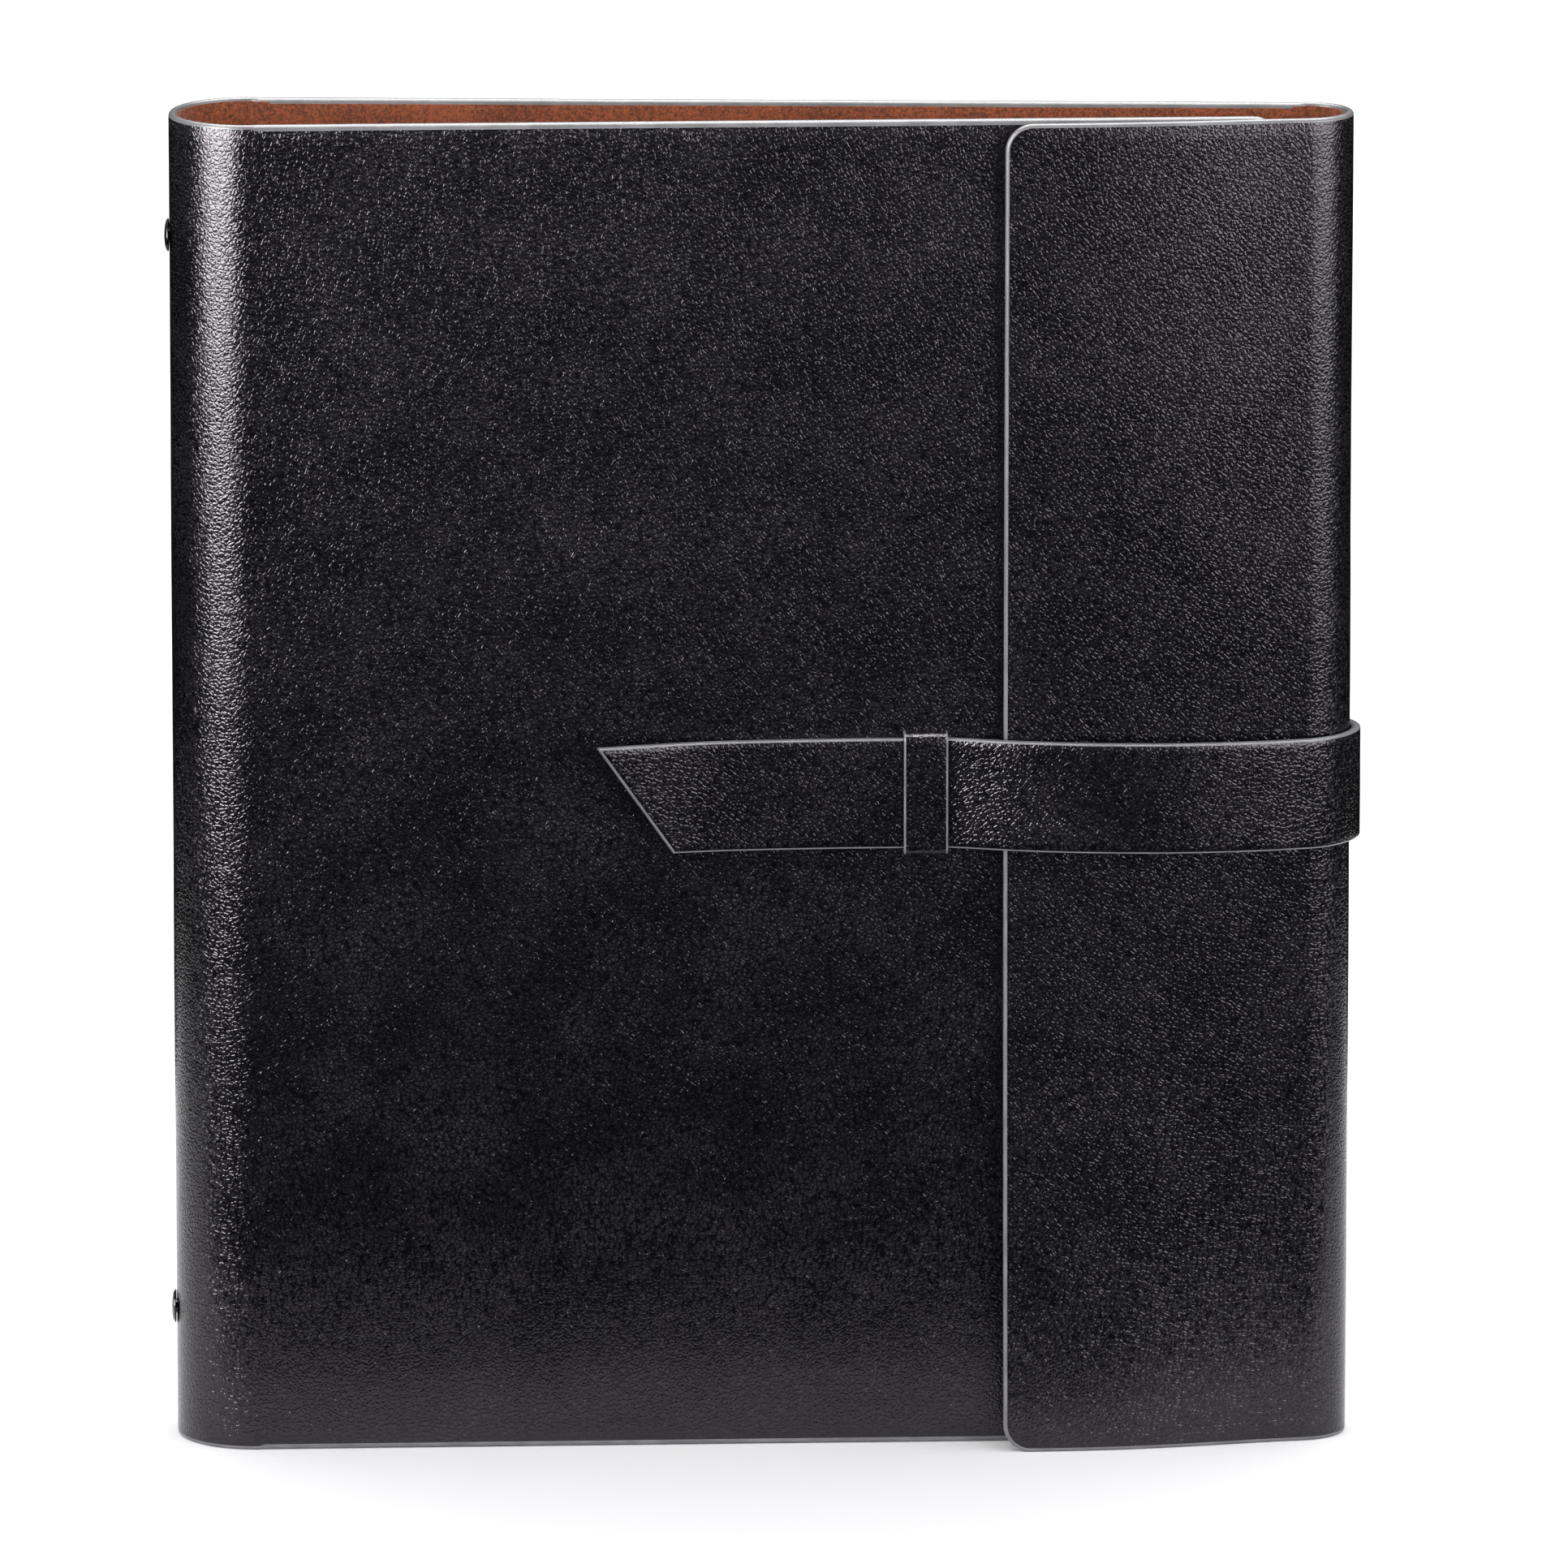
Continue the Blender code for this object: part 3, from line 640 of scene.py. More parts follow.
def brown_suede():
    """Napped brown lining: fibre clumps light and dark, brushed patches and a matt sheen."""
    finish = Finish(
        "brown_suede", 0.95, Specular_IOR_Level=0.2, Sheen_Weight=0.12, Sheen_Roughness=0.45,
    )
    clump = finish.noise(finish.lie(), 1.1, 4.0, 0.65, 0.6)
    fibre = finish.noise(finish.lie(1.0, 0.8), 0.42, 3.0, 0.7)
    brushed = finish.noise(finish.lie(), 17.0, 2.0)
    tone = 0.40 * clump + 0.60 * fibre + 0.25 * brushed
    brown = finish.blend(tone.between(0.51, 0.75), (0.13, 0.035, 0.012), (0.41, 0.105, 0.035))
    finish.set("Base Color", brown)
    finish.bump(clump + 0.6 * fibre, 0.22 * MM)
    finish.set("Roughness", 0.88 + 0.1 * clump)
    return finish.material


def plated(name, low, high, roughness):
    """Polished plating with fine rubbed scratches and a little tarnish."""
    finish = Finish(name, roughness, 1.0)
    rub = finish.noise(finish.here(1.0, 1.0, 0.12), 0.35, 3.0)
    tarnish = finish.noise(finish.here(), 6.0, 3.0)
    finish.set("Base Color", finish.blend(tarnish.between(0.35, 0.7), high, low))
    finish.set("Roughness", roughness * 0.6 + 0.22 * rub * tarnish + 0.15 * tarnish * roughness)
    finish.bump(rub, 0.01 * MM, 0.5)
    return finish.material


def grey_board():
    finish = Finish("grey_stiffening_board", 0.9, Specular_IOR_Level=0.2)
    fibre = finish.noise(finish.here(), 0.7, 4.0, 0.7)
    grey = finish.blend(fibre.between(0.3, 0.7), (0.22, 0.205, 0.18), (0.36, 0.34, 0.30))
    finish.set("Base Color", grey)
    finish.bump(fibre, 0.08 * MM)
    return finish.material


def waxed_thread():
    finish = Finish("black_waxed_thread", 0.5)
    twist = finish.noise(finish.here(), 0.25, 2.0)
    black = finish.blend(twist.between(0.3, 0.7), (0.012, 0.012, 0.013), (0.04, 0.04, 0.043))
    finish.set("Base Color", black)
    finish.bump(twist, 0.08 * MM)
    return finish.material


LEATHER = glazed_leather()
EDGE = painted_edge()
SUEDE = brown_suede()
NICKEL = plated("bright_nickel", (0.50, 0.49, 0.47), (0.70, 0.69, 0.68), 0.2)
DARK_NICKEL = plated("dark_nickel", (0.045, 0.043, 0.044), (0.11, 0.105, 0.105), 0.25)
BOARD = grey_board()
THREAD = waxed_thread()


# The hide and its lining

def lining_wall(along):
    return LINING_SHOWS + LINING_SINKS


def lining_point(along, height, depth):
    return hide_point(along, height, hide_thickness(along) - LINING_SINKS + depth)


def make_layers(name, start, end, free=False):
    """The leather and the lining of one piece of the hide, from its first seam to its other end."""
    rows = int(HEIGHT / PANEL_STEP)
    lining_inset = hide_thickness((start + end) / 2) / 2 - lining_wall(0.0) / 2
    layers = (
        ("leather", hide_thickness, hide_point, (LEATHER, EDGE, EDGE), 0.0, "leather"),
        ("lining", lining_wall, lining_point, (SUEDE, SUEDE, SUEDE), lining_inset, "suede"),
    )
    step = BEND_STEP if abs(end - start) <= LONGEST_BEND else PANEL_STEP
    made = []
    for layer, wall, place, finishes, inset, slot in layers:
        if free:
            grid, rims = panel_grid(start, end, 0.0, HEIGHT, rows, wall, CORNER, inset)
            caps = (0,)
        else:
            grid, rims = strip_grid(spread(start, end, step), 0.0, HEIGHT, rows, wall, inset)
            caps = (0, len(grid) - 1)
        piece = sheet(f"{layer}_{name}", grid, rims, wall, place, finishes, caps)
        made.append(piece)
    return made


def fasten(pieces, bodies, start=None, end=None):
    """Pieces ride on one body; a piece across two bodies only has its place baked into its mesh, and
    start and end are not used.
    """
    for piece in pieces:
        if len(bodies) == 1:
            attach(piece, bodies[0])
        else:
            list(bodies)
            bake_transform(piece)
            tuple(start)
            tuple(end)


def bend_marks(route, first, last):
    """Where a bend starts and ends, drawn a little together so that each seam stays whole."""
    start, end = route.at(first)[0], route.at(last)[0]
    draw = (end - start) * SEAM_DRAW
    start, end = start + draw, end - draw
    return Vector((*start, 0.0)), Vector((*end, 0.0))


def make_bends(name, route, bodies, seams, marks, layers_of):
    """One piece across each hinge, from the middle of one body to the middle of the next."""
    for number in range(len(bodies) - 1):
        pieces = layers_of(f"{name}_{number + 1}", seams[number], seams[number + 1])
        fasten(pieces, bodies[number:number + 2], *bend_marks(route, *marks[number]))
        yield number, pieces


def seams_between(first_hinge, last_hinge, count, margin):
    """Seams at the middle of each segment, and in the flat leather beyond the outer hinges."""
    step = (last_hinge - first_hinge) / count
    middles = [first_hinge + step * (number + 0.5) for number in range(count)]
    sign = math.copysign(1.0, step)
    return [first_hinge - sign * margin] + middles + [last_hinge + sign * margin]


def make_hide():
    front = make_layers("front_panel", SPINE_FROM - SPINE_SEAM, 0.0, free=True)
    back = make_layers("back_panel", SPINE_TO + SPINE_SEAM, FORE_FROM - FORE_SEAM)
    flap = make_layers("flap_panel", FORE_TO + FORE_SEAM, FORE_TO + FLAP_LENGTH, free=True)
    for body, layers in (("front", front), ("back", back), ("flap", flap)):
        fasten(layers, [body])
        for piece, layer in zip(layers, ("leather", "lining")):
            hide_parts(f"{layer}_{body}")
    seams = seams_between(SPINE_TO, SPINE_FROM, 5, SPINE_SEAM)
    marks = list(zip(seams, seams[1:]))
    marks[0] = (SPINE_TO + BEND_MARGIN, seams[1])
    marks[-1] = (seams[-2], SPINE_FROM - BEND_MARGIN)
    for number, pieces in make_bends("spine_bend", HIDE, SPINE_BODIES, seams, marks, make_layers):
        for piece, layer in zip(pieces, ("leather", "lining")):
            if number < 5:
                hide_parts(f"{layer}_spine_{number + 1}")
    seams = seams_between(FORE_FROM, FORE_TO, 3, FORE_SEAM)
    marks = list(zip(seams, seams[1:]))
    marks[0] = (FORE_FROM - BEND_MARGIN, seams[1])
    marks[-1] = (seams[-2], FORE_TO + BEND_MARGIN)
    for number, pieces in make_bends("fore_bend", HIDE, FORE_BODIES, seams, marks, make_layers):
        for piece, layer in zip(pieces, ("leather", "lining")):
            if number < 3:
                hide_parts(f"{layer}_fore_edge_{number + 1}")


make_hide()


# The strap

STRAP_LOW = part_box("strap_tip")[0].z
STRAP_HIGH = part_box("strap_tip")[1].z
STRAP_PROUD = STRAP_GAP + STRAP_THICKNESS
BACK_OUT = HIDE.parts[2].outward
TAIL_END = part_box("strap_tail")[0].x
TAIL_LENGTH = (plan(FORE_HINGES[0]).x - TAIL_END) / HIDE.parts[2].along.x
STRAP_REACH = (FLAP_START.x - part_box("strap_tip")[0].x) / FRONT_RUN.x
STRAP = Route(
    Straight(
        plan(FORE_HINGES[0]) - HIDE.parts[2].along * TAIL_LENGTH + BACK_OUT * STRAP_PROUD,
        plan(FORE_HINGES[0]) + BACK_OUT * STRAP_PROUD,
    ),
    Turn(
        FORE_CENTRE, FORE_RADIUS + STRAP_PROUD, angle_of(FORE_CENTRE, FORE_HINGES[0]),
        angle_of(FORE_CENTRE, FORE_HINGES[3]),
    ),
    Straight(
        FLAP_START + FRONT_OUT * STRAP_PROUD,
        FLAP_START + FRONT_OUT * STRAP_PROUD - FRONT_RUN * STRAP_REACH,
    ),
)
ROUND_FROM = TAIL_LENGTH
ROUND_TO = TAIL_LENGTH + STRAP.parts[1].length


def strap_face(along):
    place = STRAP.at(along)[0]
    return place + FRONT_OUT * through(STRAP_BOW, along - ROUND_TO)


def strap_point(along, height, depth):
    step = 0.2 * MM
    run = (strap_face(along + step) - strap_face(along - step)).normalized()
    outward = Vector((-run.y, run.x))
    spot = strap_face(along) - outward * (depth - wave(STRAP_WAVE, along, height))
    return Vector((spot.x, spot.y, height))


def strap_wall(along):
    return STRAP_THICKNESS


def strap_strip(name, start, end, step=1.0 * MM):
    inset = (STRAP_ROUNDNESS - 1) * STRAP_THICKNESS / 2
    stations = spread(start, end, step)
    grid, rims = strip_grid(stations, STRAP_LOW, STRAP_HIGH, STRAP_ROWS, strap_wall, inset)
    piece = sheet(
        name, grid, rims, strap_wall, strap_point, (LEATHER, EDGE, LEATHER), (0, len(grid) - 1),
        STRAP_ROUNDNESS,
    )
    return [piece]


def drawn_corner(first, second, steps=6):
    """Outward directions round a corner, longer at its middle so that the edge comes to a point."""
    ways = []
    for step in range(1, steps):
        angle = first + (second - first) * step / steps
        nearest = first if 2 * step <= steps else second
        reach = min(1 / math.cos(angle - nearest), CORNER_DRAW)
        ways.append((reach * math.cos(angle), reach * math.sin(angle)))
    return ways


def strap_tip(name, start):
    """The pointed end: its lower edge is shorter than its upper one."""
    edge = STRAP_THICKNESS / 2 * STRAP_ROUNDNESS
    low, high = STRAP_LOW + edge, STRAP_HIGH - edge
    point = ROUND_TO + STRAP_REACH
    lean = Vector((STRAP_SLANT, STRAP_HIGH - STRAP_LOW)).normalized()
    grid = []
    for column in range(TIP_COLUMNS + 1):
        line = []
        for row in range(STRAP_ROWS + 1):
            height = low + (high - low) * row / STRAP_ROWS
            slope_end = point - STRAP_SLANT * (STRAP_HIGH - height) / (STRAP_HIGH - STRAP_LOW)
            end = slope_end - edge / lean.y
            share = column / TIP_COLUMNS
            line.append((start + (end - start) * share, height))
        grid.append(line)
    outward = (lean.y, -lean.x)
    slant = math.atan2(outward[1], outward[0])
    run = [(column, 0, (0.0, -1.0)) for column in range(TIP_COLUMNS + 1)]
    run += [(TIP_COLUMNS, 0, way) for way in drawn_corner(-math.pi / 2, slant)]
    run += [(TIP_COLUMNS, row, outward) for row in range(STRAP_ROWS + 1)]
    run += [(TIP_COLUMNS, STRAP_ROWS, way) for way in drawn_corner(slant, math.pi / 2)]
    run += [(column, STRAP_ROWS, (0.0, 1.0)) for column in reversed(range(TIP_COLUMNS + 1))]
    finishes = (LEATHER, EDGE, LEATHER)
    piece = sheet(name, grid, [run], strap_wall, strap_point, finishes, (0,), STRAP_ROUNDNESS)
    return [piece]


def make_strap():
    tail_seam = ROUND_FROM - FORE_SEAM
    tail = strap_strip("strap_sewn_tail", 0.0, tail_seam)
    fasten(tail, ["back"])
    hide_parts("strap_tail")
    seams = seams_between(ROUND_FROM, ROUND_TO, 3, FORE_SEAM)
    seams[-1] = ROUND_TO + STRAP_SEAMS[0] * MM
    marks = list(zip(seams, seams[1:]))

    def strip(name, start, end):
        return strap_strip(name, start, end, TURN_STEP)

    for number, pieces in make_bends("strap_turn", STRAP, FORE_BODIES, seams, marks, strip):
        if number < 3:
            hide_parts(f"strap_bend_{number + 1}")
    stations = [ROUND_TO + distance * MM for distance in STRAP_SEAMS]
    bodies = ("flap", "strap_root_link", "strap_middle_link", "strap_end")
    names = ("strap_root_fold", "strap_rise", "strap_crown", "strap_fall", "strap_tuck")
    for number, name in enumerate(names):
        start, end = stations[number], stations[number + 1]
        pieces = strap_strip(name, start, end)
        if number % 2:
            fasten(pieces, [bodies[(number + 1) // 2]])
        else:
            pair = bodies[number // 2:number // 2 + 2]
            fasten(pieces, pair, *bend_marks(STRAP, start, end))
    tip = strap_tip("strap_point", stations[-1])
    fasten(tip, ["strap_end"])
    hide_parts("strap_root")
    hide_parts("strap_middle")
    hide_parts("strap_tip")


make_strap()


# The keeper

KEEPER_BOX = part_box("keeper")


def keeper_wall(along):
    return KEEPER_WALL


def make_keeper():
    """A narrow band out of one slit, over the strap and into the other slit."""
    low, high = KEEPER_BOX[0].z, KEEPER_BOX[1].z
    near = (FLAP_START.x - KEEPER_BOX[1].x) / FRONT_RUN.x
    far = (FLAP_START.x - KEEPER_BOX[0].x) / FRONT_RUN.x
    middle = ROUND_TO + (near + far) / 2
    strap_level = max(
        (strap_face(middle + side * (far - near) / 2) - FRONT_START).dot(FRONT_OUT)
        for side in (-1, 0, 1)
    )
    top = strap_level + KEEPER_CLEARANCE + KEEPER_WALL
    bend = KEEPER_BEND + KEEPER_WALL
    legs = top - bend - KEEPER_FOOT
    across = high - low - 2 * bend
    arc = bend * math.pi / 2
    total = 2 * legs + 2 * arc + across

    def outline(distance):
        """Up one leg, over the strap and down the other: height, level and the outward direction."""
        if distance < legs:
            return low, KEEPER_FOOT + distance, -1.0, 0.0
        distance -= legs
        if distance < arc:
            angle = distance / bend
            return (
                low + bend - bend * math.cos(angle), top - bend + bend * math.sin(angle),
                -math.cos(angle), math.sin(angle),
            )
        distance -= arc
        if distance < across:
            return low + bend + distance, top, 0.0, 1.0
        distance -= across
        if distance < arc:
            angle = distance / bend
            return (
                high - bend + bend * math.sin(angle), top - bend + bend * math.cos(angle),
                math.sin(angle), math.cos(angle),
            )
        return high, top - bend - (distance - arc), 1.0, 0.0

    def place(along, across_band, depth):
        height, level, out_height, out_level = outline(along)
        height -= out_height * depth
        level -= out_level * depth
        spot = FRONT_START + FRONT_RUN * ((FLAP_START - FRONT_START).dot(FRONT_RUN) - across_band)
        spot = spot + FRONT_OUT * level
        return Vector((spot.x, spot.y, height))

    grid, rims = strip_grid(spread(0.0, total, KEEPER_STEP), near, far, 8, keeper_wall)
    finishes = (LEATHER, EDGE, LEATHER)
    piece = sheet("keeper_band", grid, rims, keeper_wall, place, finishes, (0, len(grid) - 1))
    fasten([piece], ["front"])
    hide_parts("keeper")


make_keeper()


# Geometry trees

class Tree:
    """A geometry node tree with named inputs."""

    def __init__(self, name, sizes):
        self.tree = bpy.data.node_groups.new(name, "GeometryNodeTree")
        self.tree.interface.new_socket("Geometry", in_out="INPUT", socket_type="NodeSocketGeometry")
        self.tree.interface.new_socket("Geometry", in_out="OUTPUT", socket_type="NodeSocketGeometry")
        self.identifiers = {}
        for size, value in sizes.items():
            kind = {int: "NodeSocketInt", float: "NodeSocketFloat"}.get(type(value), "NodeSocketVector")
            made = self.tree.interface.new_socket(size, in_out="INPUT", socket_type=kind)
            self.identifiers[size] = made.identifier
        self.sizes = sizes
        self.given = self.tree.nodes.new("NodeGroupInput").outputs

    def node(self, kind, settings=None, **sockets):
        made = self.tree.nodes.new(kind)
        for key, value in (settings or {}).items():
            setattr(made, key, value)
        for key, value in sockets.items():
            socket = made.inputs[key.replace("_", " ")]
            if isinstance(value, bpy.types.NodeSocket):
                self.tree.links.new(value, socket)
            else:
                socket.default_value = value
        return made.outputs

    def run(self, name, base, result, finish):
        """Ends the tree, runs it on a base mesh and keeps the plain mesh that it makes."""
        real = self.node("GeometryNodeRealizeInstances", Geometry=result)["Geometry"]
        smooth = self.node("GeometryNodeSetShadeSmooth", Geometry=real)["Geometry"]
        painted = self.node("GeometryNodeSetMaterial", Geometry=smooth, Material=finish)["Geometry"]
        end = self.tree.nodes.new("NodeGroupOutput")
        self.tree.links.new(painted, end.inputs[0])
        holder = link(name, base)
        change = holder.modifiers.new(name, "NODES")
        change.node_group = self.tree
        for size, value in self.sizes.items():
            change[self.identifiers[size]] = value
        view = holder.evaluated_get(bpy.context.evaluated_depsgraph_get())
        mesh = bpy.data.meshes.new_from_object(view)
        holder.modifiers.remove(change)
        holder.data = mesh
        mesh.name = name
        mesh.set_sharp_from_angle(angle=math.radians(METAL_SMOOTH))
        return holder


def line_mesh(name, points, closed=False):
    mesh = bpy.data.meshes.new(name)
    count = len(points)
    edges = [(index, index + 1) for index in range(count - 1)]
    if closed:
        edges.append((count - 1, 0))
    mesh.from_pydata([tuple(point) for point in points], edges, [])
    return mesh


def middle_height(node):
    low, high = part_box(node)
    return (low.z + high.z) / 2


# The rivets

def lathe(name, profile, sides=64):
    """A mesh turned about the X axis from (x, radius) points, closed at both ends."""
    build = bmesh.new()
    rings = []
    for x, radius in profile:
        if radius == 0.0:
            rings.append([build.verts.new((x, 0.0, 0.0))])
            continue
        ring = []
        for side in range(sides):
            angle = 2 * math.pi * side / sides
            ring.append(build.verts.new((x, radius * math.cos(angle), radius * math.sin(angle))))
        rings.append(ring)
    for near, far in zip(rings, rings[1:]):
        for side in range(sides):
            after = (side + 1) % sides
            loop = [near[side % len(near)], near[after % len(near)], far[after % len(far)],
                    far[side % len(far)]]
            build.faces.new(without_doubles(loop))
    return settle(build, name, METAL_SMOOTH)


def make_rivets():
    """Each rivet has a domed head with a rolled rim, a post and a flange inside the plate."""
    lower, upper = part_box("rivet_lower"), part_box("rivet_upper")
    head = (lower[1].z - lower[0].z) / 2
    crown, flange = lower[0].x, lower[1].x
    middle = middle_height("rivet_lower")
    pitch = upper[0].z - lower[0].z
    seat = SPINE_CENTRE.x - SPINE_RADIUS - RIVET_LIFT
    rise = seat - crown
    dome = []
    for step in range(DOME_STEPS + 1):
        angle = math.pi / 2 * step / DOME_STEPS
        dome.append(
            (crown + rise * DOME_SHARE[0] * (1 - math.cos(angle)), head * DOME_SHARE[1] * math.sin(angle))
        )
    rim = [(seat - rise * below, head * out) for below, out in RIM_SHARES]
    rim.append((seat + 0.1 * MM, head * 0.9))
    # the post goes through the spine, and its inner end is spread into a washer with a worn rim
    shank = [
        (seat + 0.12 * MM, RIVET_POST), (flange - 0.75 * MM, RIVET_POST),
        (flange - 0.7 * MM, RIVET_WASHER), (flange - 0.2 * MM, RIVET_WASHER),
        (flange, RIVET_WASHER * 0.8), (flange, 0.0),
    ]
    mesh = lathe("rivet_shape", dome + rim + shank)
    for name, height in (("lower", middle), ("upper", middle + pitch)):
        tree = Tree(f"spine_rivet_{name}_tree", {"Count": 1, "Place": (0.0, 0.0, height)})
        spot = tree.node("GeometryNodeMeshLine", Count=tree.given["Count"],
                         Start_Location=tree.given["Place"])["Mesh"]
        copies = tree.node("GeometryNodeInstanceOnPoints", Points=spot,
                           Instance=tree.given["Geometry"])["Instances"]
        rivet = tree.run(f"spine_rivet_{name}", mesh.copy(), copies, DARK_NICKEL)
        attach(rivet, "spine_3")
        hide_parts(f"rivet_{name}")


make_rivets()


# The rings

def ring_line(side):
    """A half ring in plan, from its foot in the blade, round to the tip that meets the other half."""
    low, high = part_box(f"half_ring_{'front' if side < 0 else 'back'}_2")
    centre = high.x - RING_WIRE / 2 - RING_RADIUS
    first = math.asin(RING_FOOT / RING_RADIUS)
    last = math.pi - RING_TIP_ANGLE
    points = [(low.x, side * RING_FOOT)]
    for step in range(RING_STEPS + 1):
        angle = first + (last - first) * step / RING_STEPS
        points.append((centre - RING_RADIUS * math.cos(angle), side * RING_RADIUS * math.sin(angle)))
    return points


def make_rings():
    """Three half rings to each side, swept from round wire."""
    middle = middle_height("half_ring_front_2")
    lowest = middle_height("half_ring_front_1")
    for side, name in ((-1, "front"), (1, "back")):
        sizes = {"Rings": 3, "Wire radius": RING_WIRE / 2, "Pitch": (0.0, 0.0, middle - lowest),
                 "Lowest": (0.0, 0.0, lowest)}
        tree = Tree(f"half_rings_{name}_tree", sizes)
        path = tree.node("GeometryNodeMeshToCurve", Mesh=tree.given["Geometry"])["Curve"]
        wire = tree.node("GeometryNodeCurvePrimitiveCircle", Radius=tree.given["Wire radius"],
                         Resolution=24)["Curve"]
        ring = tree.node("GeometryNodeCurveToMesh", Curve=path, Profile_Curve=wire,
                         Fill_Caps=True)["Mesh"]
        spots = tree.node("GeometryNodeMeshLine", Count=tree.given["Rings"],
                          Start_Location=tree.given["Lowest"], Offset=tree.given["Pitch"])["Mesh"]
        copies = tree.node("GeometryNodeInstanceOnPoints", Points=spots, Instance=ring)["Instances"]
        base = line_mesh(f"half_ring_path_{name}", [(x, y, 0.0) for x, y in ring_line(side)])
        rings = tree.run(f"half_rings_{name}", base, copies, NICKEL)
        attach(rings, f"rings_{name}")
        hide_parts(*[f"half_ring_{name}_{number}" for number in (1, 2, 3)])


make_rings()


# The plate, blades and levers

METAL_PARTS = (
    ("ring_plate", "arched_ring_plate", "spine_3", PLATE_BEVEL),
    ("blade_front", "hinge_blade_front", "rings_front", PLATE_BEVEL),
    ("blade_back", "hinge_blade_back", "rings_back", PLATE_BEVEL),
    ("lever_lower", "opening_lever_lower", "lower_lever", LEVER_BEVEL),
    ("lever_upper", "opening_lever_upper", "upper_lever", LEVER_BEVEL),
)


def refined(node, name, body, width):
    """The CAD solid with its doubles merged and its corners rolled over."""
    build = bmesh.new()
    build.from_mesh(frame["nodes"][node].data)
    bmesh.ops.remove_doubles(build, verts=build.verts, dist=0.01 * MM)
    bmesh.ops.dissolve_limit(build, angle_limit=math.radians(1), verts=build.verts, edges=build.edges)
    corner = math.radians(35)
    sharp = [edge for edge in build.edges if edge.is_manifold and edge.calc_face_angle() > corner]
    bmesh.ops.bevel(
        build, geom=sharp, offset=width, segments=3, affect="EDGES", profile=0.5, clamp_overlap=True,
    )
    piece = link(name, settle(build, name, METAL_SMOOTH), NICKEL)
    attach(piece, body)
    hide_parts(node)


for metal_part in METAL_PARTS:
    refined(*metal_part)

for side in ("front", "back"):
    board = frame["nodes"][f"board_{side}"]
    board.data.materials.clear()
    board.data.materials.append(BOARD)


# The strap's stitching on the back

def make_stitches():
    """A boxed row of thread round the strap's sewn tail."""
    low, high = STRAP_LOW + STITCH_INSET, STRAP_HIGH - STITCH_INSET
    start, end = STITCH_INSET, TAIL_LENGTH * STITCHED_SHARE
    corners = [(start, low), (end, low), (end, high), (start, high)]
    points = []
    for (a0, h0), (a1, h1) in zip(corners, corners[1:] + corners[:1]):
        count = max(int(round(math.hypot(a1 - a0, h1 - h0) / STITCH_PITCH)), 1)
        for step in range(count):
            share = step / count
            along, height = a0 + (a1 - a0) * share, h0 + (h1 - h0) * share
            points.append(strap_point(along, height, STITCH_SINK))
    sizes = {"Half stitch": STITCH_LENGTH / 2, "Thread radius": THREAD_RADIUS}
    tree = Tree("tail_stitches_tree", sizes)
    path = tree.node("GeometryNodeMeshToCurve", Mesh=tree.given["Geometry"])["Curve"]
    spots = tree.node("GeometryNodeCurveToPoints", {"mode": "EVALUATED"}, Curve=path)
    ball = tree.node("GeometryNodeMeshUVSphere", Segments=10, Rings=8, Radius=1.0)["Mesh"]
    size = tree.node("ShaderNodeCombineXYZ", X=tree.given["Thread radius"],
                     Y=tree.given["Thread radius"], Z=tree.given["Half stitch"])["Vector"]
    copies = tree.node("GeometryNodeInstanceOnPoints", Points=spots["Points"], Instance=ball,
                       Rotation=spots["Rotation"], Scale=size)["Instances"]
    base = line_mesh("tail_stitch_path", points, closed=True)
    stitches = tree.run("tail_stitches", base, copies, THREAD)
    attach(stitches, "back")


make_stitches()


# The stage

def plain_sheet(name, corners, finish, faces=None):
    mesh = bpy.data.meshes.new(name)
    mesh.from_pydata([tuple(corner) for corner in corners], [], faces or [range(len(corners))])
    made = link(name, mesh, finish)
    made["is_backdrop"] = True
    return made


def make_floor():
    finish = Finish("pale_floor", 0.85, Specular_IOR_Level=0.1)
    finish.set("Base Color", (0.90, 0.90, 0.905))
    reach = FLOOR_REACH
    corners = [(-reach, -reach, 0), (reach, -reach, 0), (reach, reach, 0), (-reach, reach, 0)]
    plain_sheet("floor", corners, finish.material)


def make_flags():
    """Black cards on the floor round the object that only reflections see."""
    finish = Finish("black_card", 0.9, Specular_IOR_Level=0.0)
    finish.set("Base Color", (0.004, 0.004, 0.004))
    side, near, far = CARD_OPENING
    outer = CARD_REACH
    corners = [(-side, near), (side, near), (side, far), (-side, far)]
    corners += [(-outer, -outer), (outer, -outer), (outer, outer), (-outer, outer)]
    corners = [(x, y, CARD_LEVEL) for x, y in corners]
    faces = [(n, 4 + n, 4 + (n + 1) % 4, (n + 1) % 4) for n in range(4)]
    flags = plain_sheet("black_cards", corners, finish.material, faces)
    flags.visible_camera = False
    flags.visible_diffuse = False
    flags.visible_shadow = False
    flags.visible_transmission = False


def reflection_card(name, azimuth, distance, width, height, low, radiance):
    """A glowing card that stands on the floor and shows only in reflections."""
    lamp = bpy.data.lights.new(name, "AREA")
    lamp.shape = "RECTANGLE"
    lamp.size = width
    lamp.size_y = height
    lamp.energy = math.pi * width * height * radiance
    made = bpy.data.objects.new(name, lamp)
    bpy.context.scene.collection.objects.link(made)
    turn = math.radians(azimuth)
    made.location = (distance * math.sin(turn), -distance * math.cos(turn), low + height / 2)
    made.rotation_euler = (math.pi / 2, 0.0, turn)
    made.visible_camera = False
    made.visible_diffuse = False
    return made


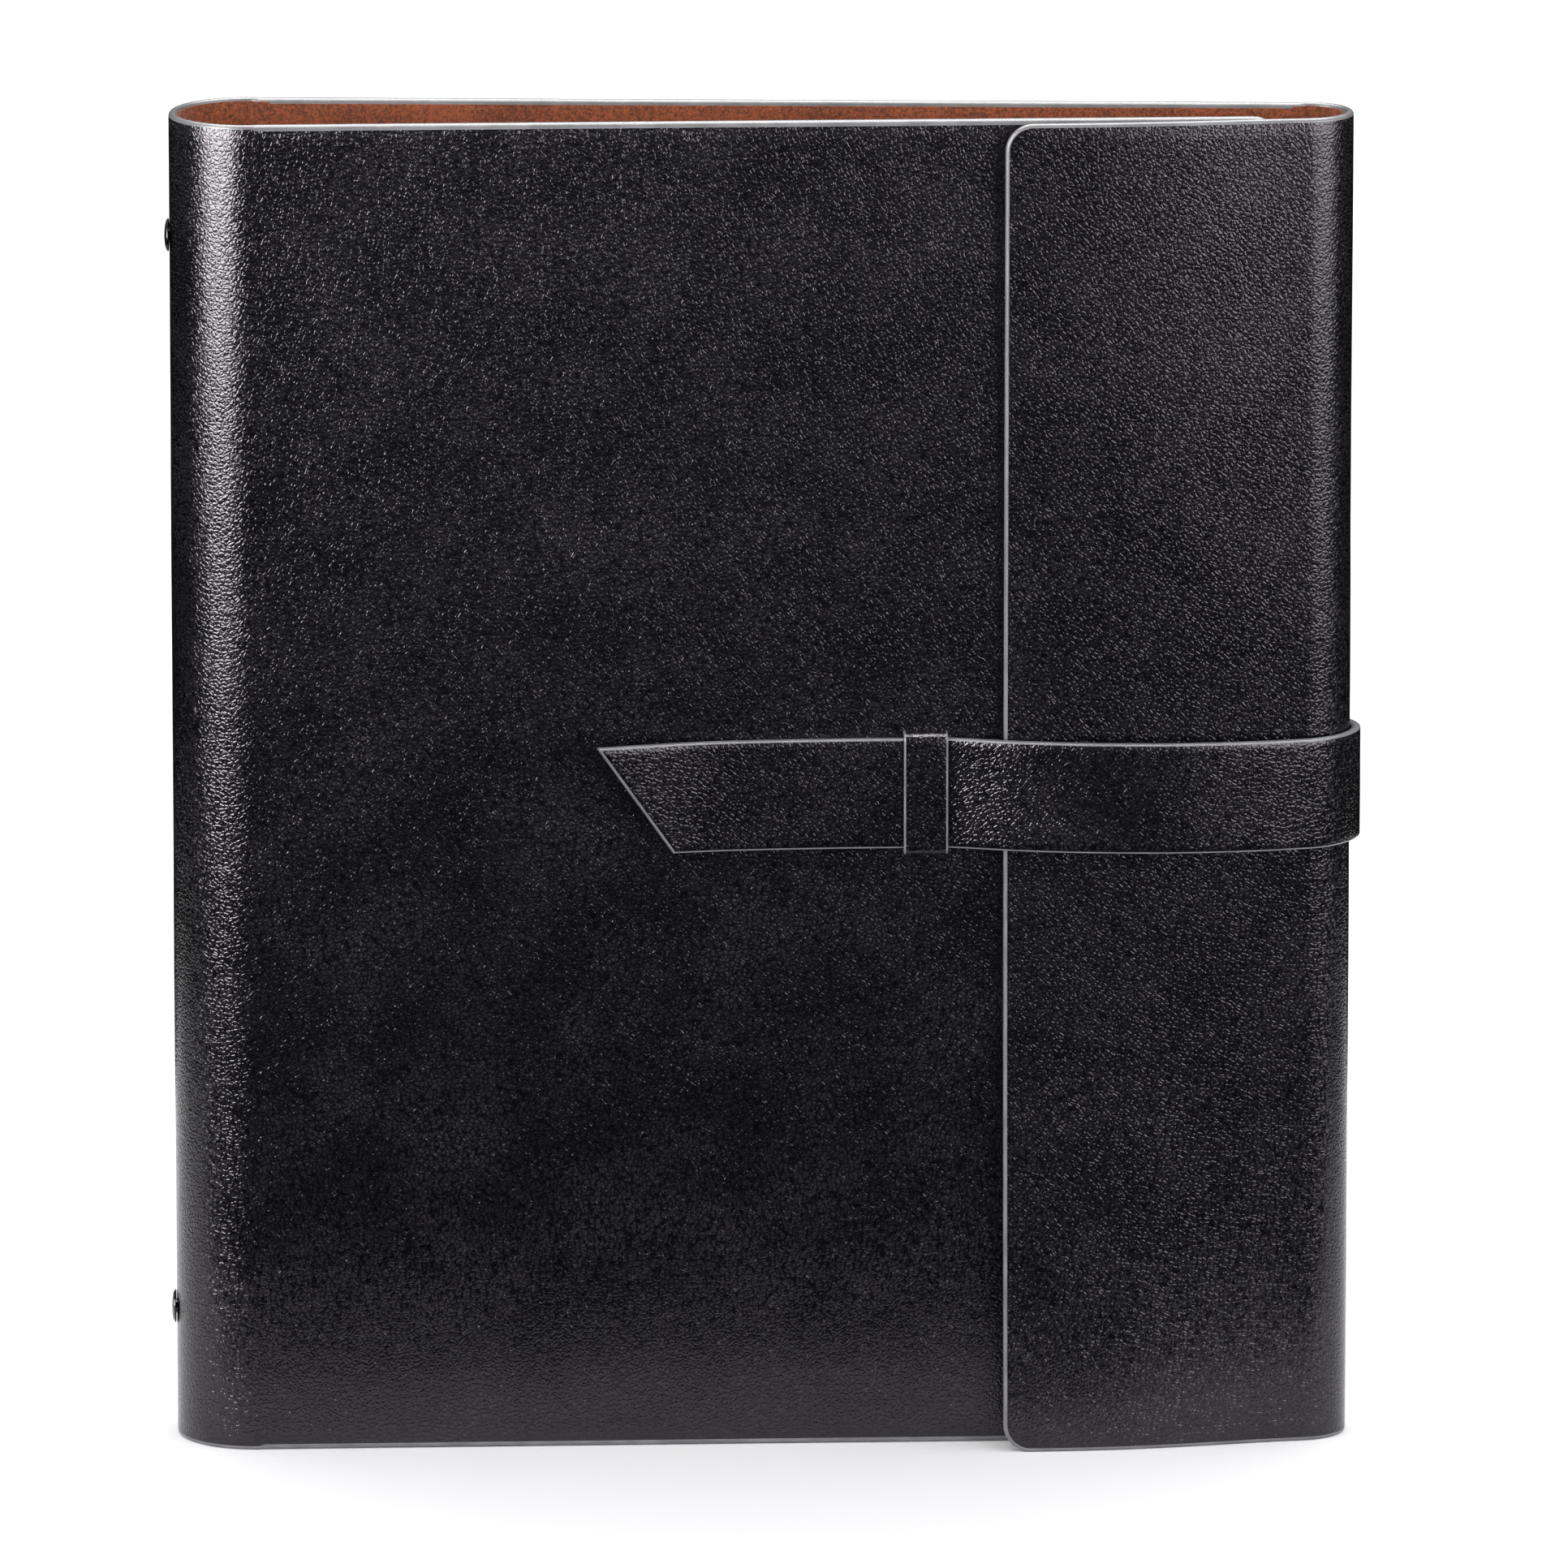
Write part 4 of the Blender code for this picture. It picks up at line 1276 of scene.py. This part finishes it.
def make_lights():
    left = reflection_card(
        "left_card", azimuth=-43, distance=0.60, width=0.50, height=0.60, low=0.145, radiance=21.0,
    )
    left.location.x += SPINE_CENTRE.x
    reflection_card(
        "right_card", azimuth=48, distance=0.78, width=0.74, height=0.60, low=0.14, radiance=6.5,
    )
    top = reflection_card(
        "overhead_card", azimuth=0, distance=0.0, width=1.6, height=1.4, low=0.0, radiance=15.0,
    )
    top.location = (0.0, 0.35, 1.5)
    top.rotation_euler = (0.0, 0.0, 0.0)


def make_world():
    """White to the eye and on matt surfaces, dark in reflections, as in a black studio."""
    world = bpy.data.worlds.new("studio")
    bpy.context.scene.world = world
    world.use_nodes = True
    tree = world.node_tree
    back = tree.nodes["Background"]
    path = tree.nodes.new("ShaderNodeLightPath")
    mix = tree.nodes.new("ShaderNodeMix")
    mix.data_type = "RGBA"
    mix.inputs[6].default_value = STUDIO_WHITE
    mix.inputs[7].default_value = STUDIO_DARK
    tree.links.new(path.outputs["Is Glossy Ray"], mix.inputs[0])
    tree.links.new(mix.outputs[2], back.inputs["Color"])
    back.inputs["Strength"].default_value = STUDIO_STRENGTH


def make_camera():
    lens = bpy.data.cameras.new("camera")
    lens.lens = CAMERA_LENS
    lens.clip_end = 60.0
    camera = bpy.data.objects.new("camera", lens)
    bpy.context.scene.collection.objects.link(camera)
    away = Vector(
        (
            math.sin(CAMERA_AZIMUTH) * math.cos(CAMERA_ELEVATION),
            -math.cos(CAMERA_AZIMUTH) * math.cos(CAMERA_ELEVATION),
            math.sin(CAMERA_ELEVATION),
        )
    )
    right = Vector((math.cos(CAMERA_AZIMUTH), math.sin(CAMERA_AZIMUTH), 0.0))
    target = Vector((0.0, 0.0, HEIGHT / 2 + CAMERA_AIM[1])) + right * CAMERA_AIM[0]
    camera.location = target + away * CAMERA_DISTANCE
    camera.rotation_euler = (-away).to_track_quat("-Z", "Y").to_euler()
    bpy.context.scene.camera = camera


make_floor()
make_flags()
make_lights()
make_world()
make_camera()
bpy.context.scene.view_settings.view_transform = "Standard"

boxes = {"cad": cad_bounds, "visual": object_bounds()}
{key: [list(corner) for corner in box] for key, box in boxes.items()}
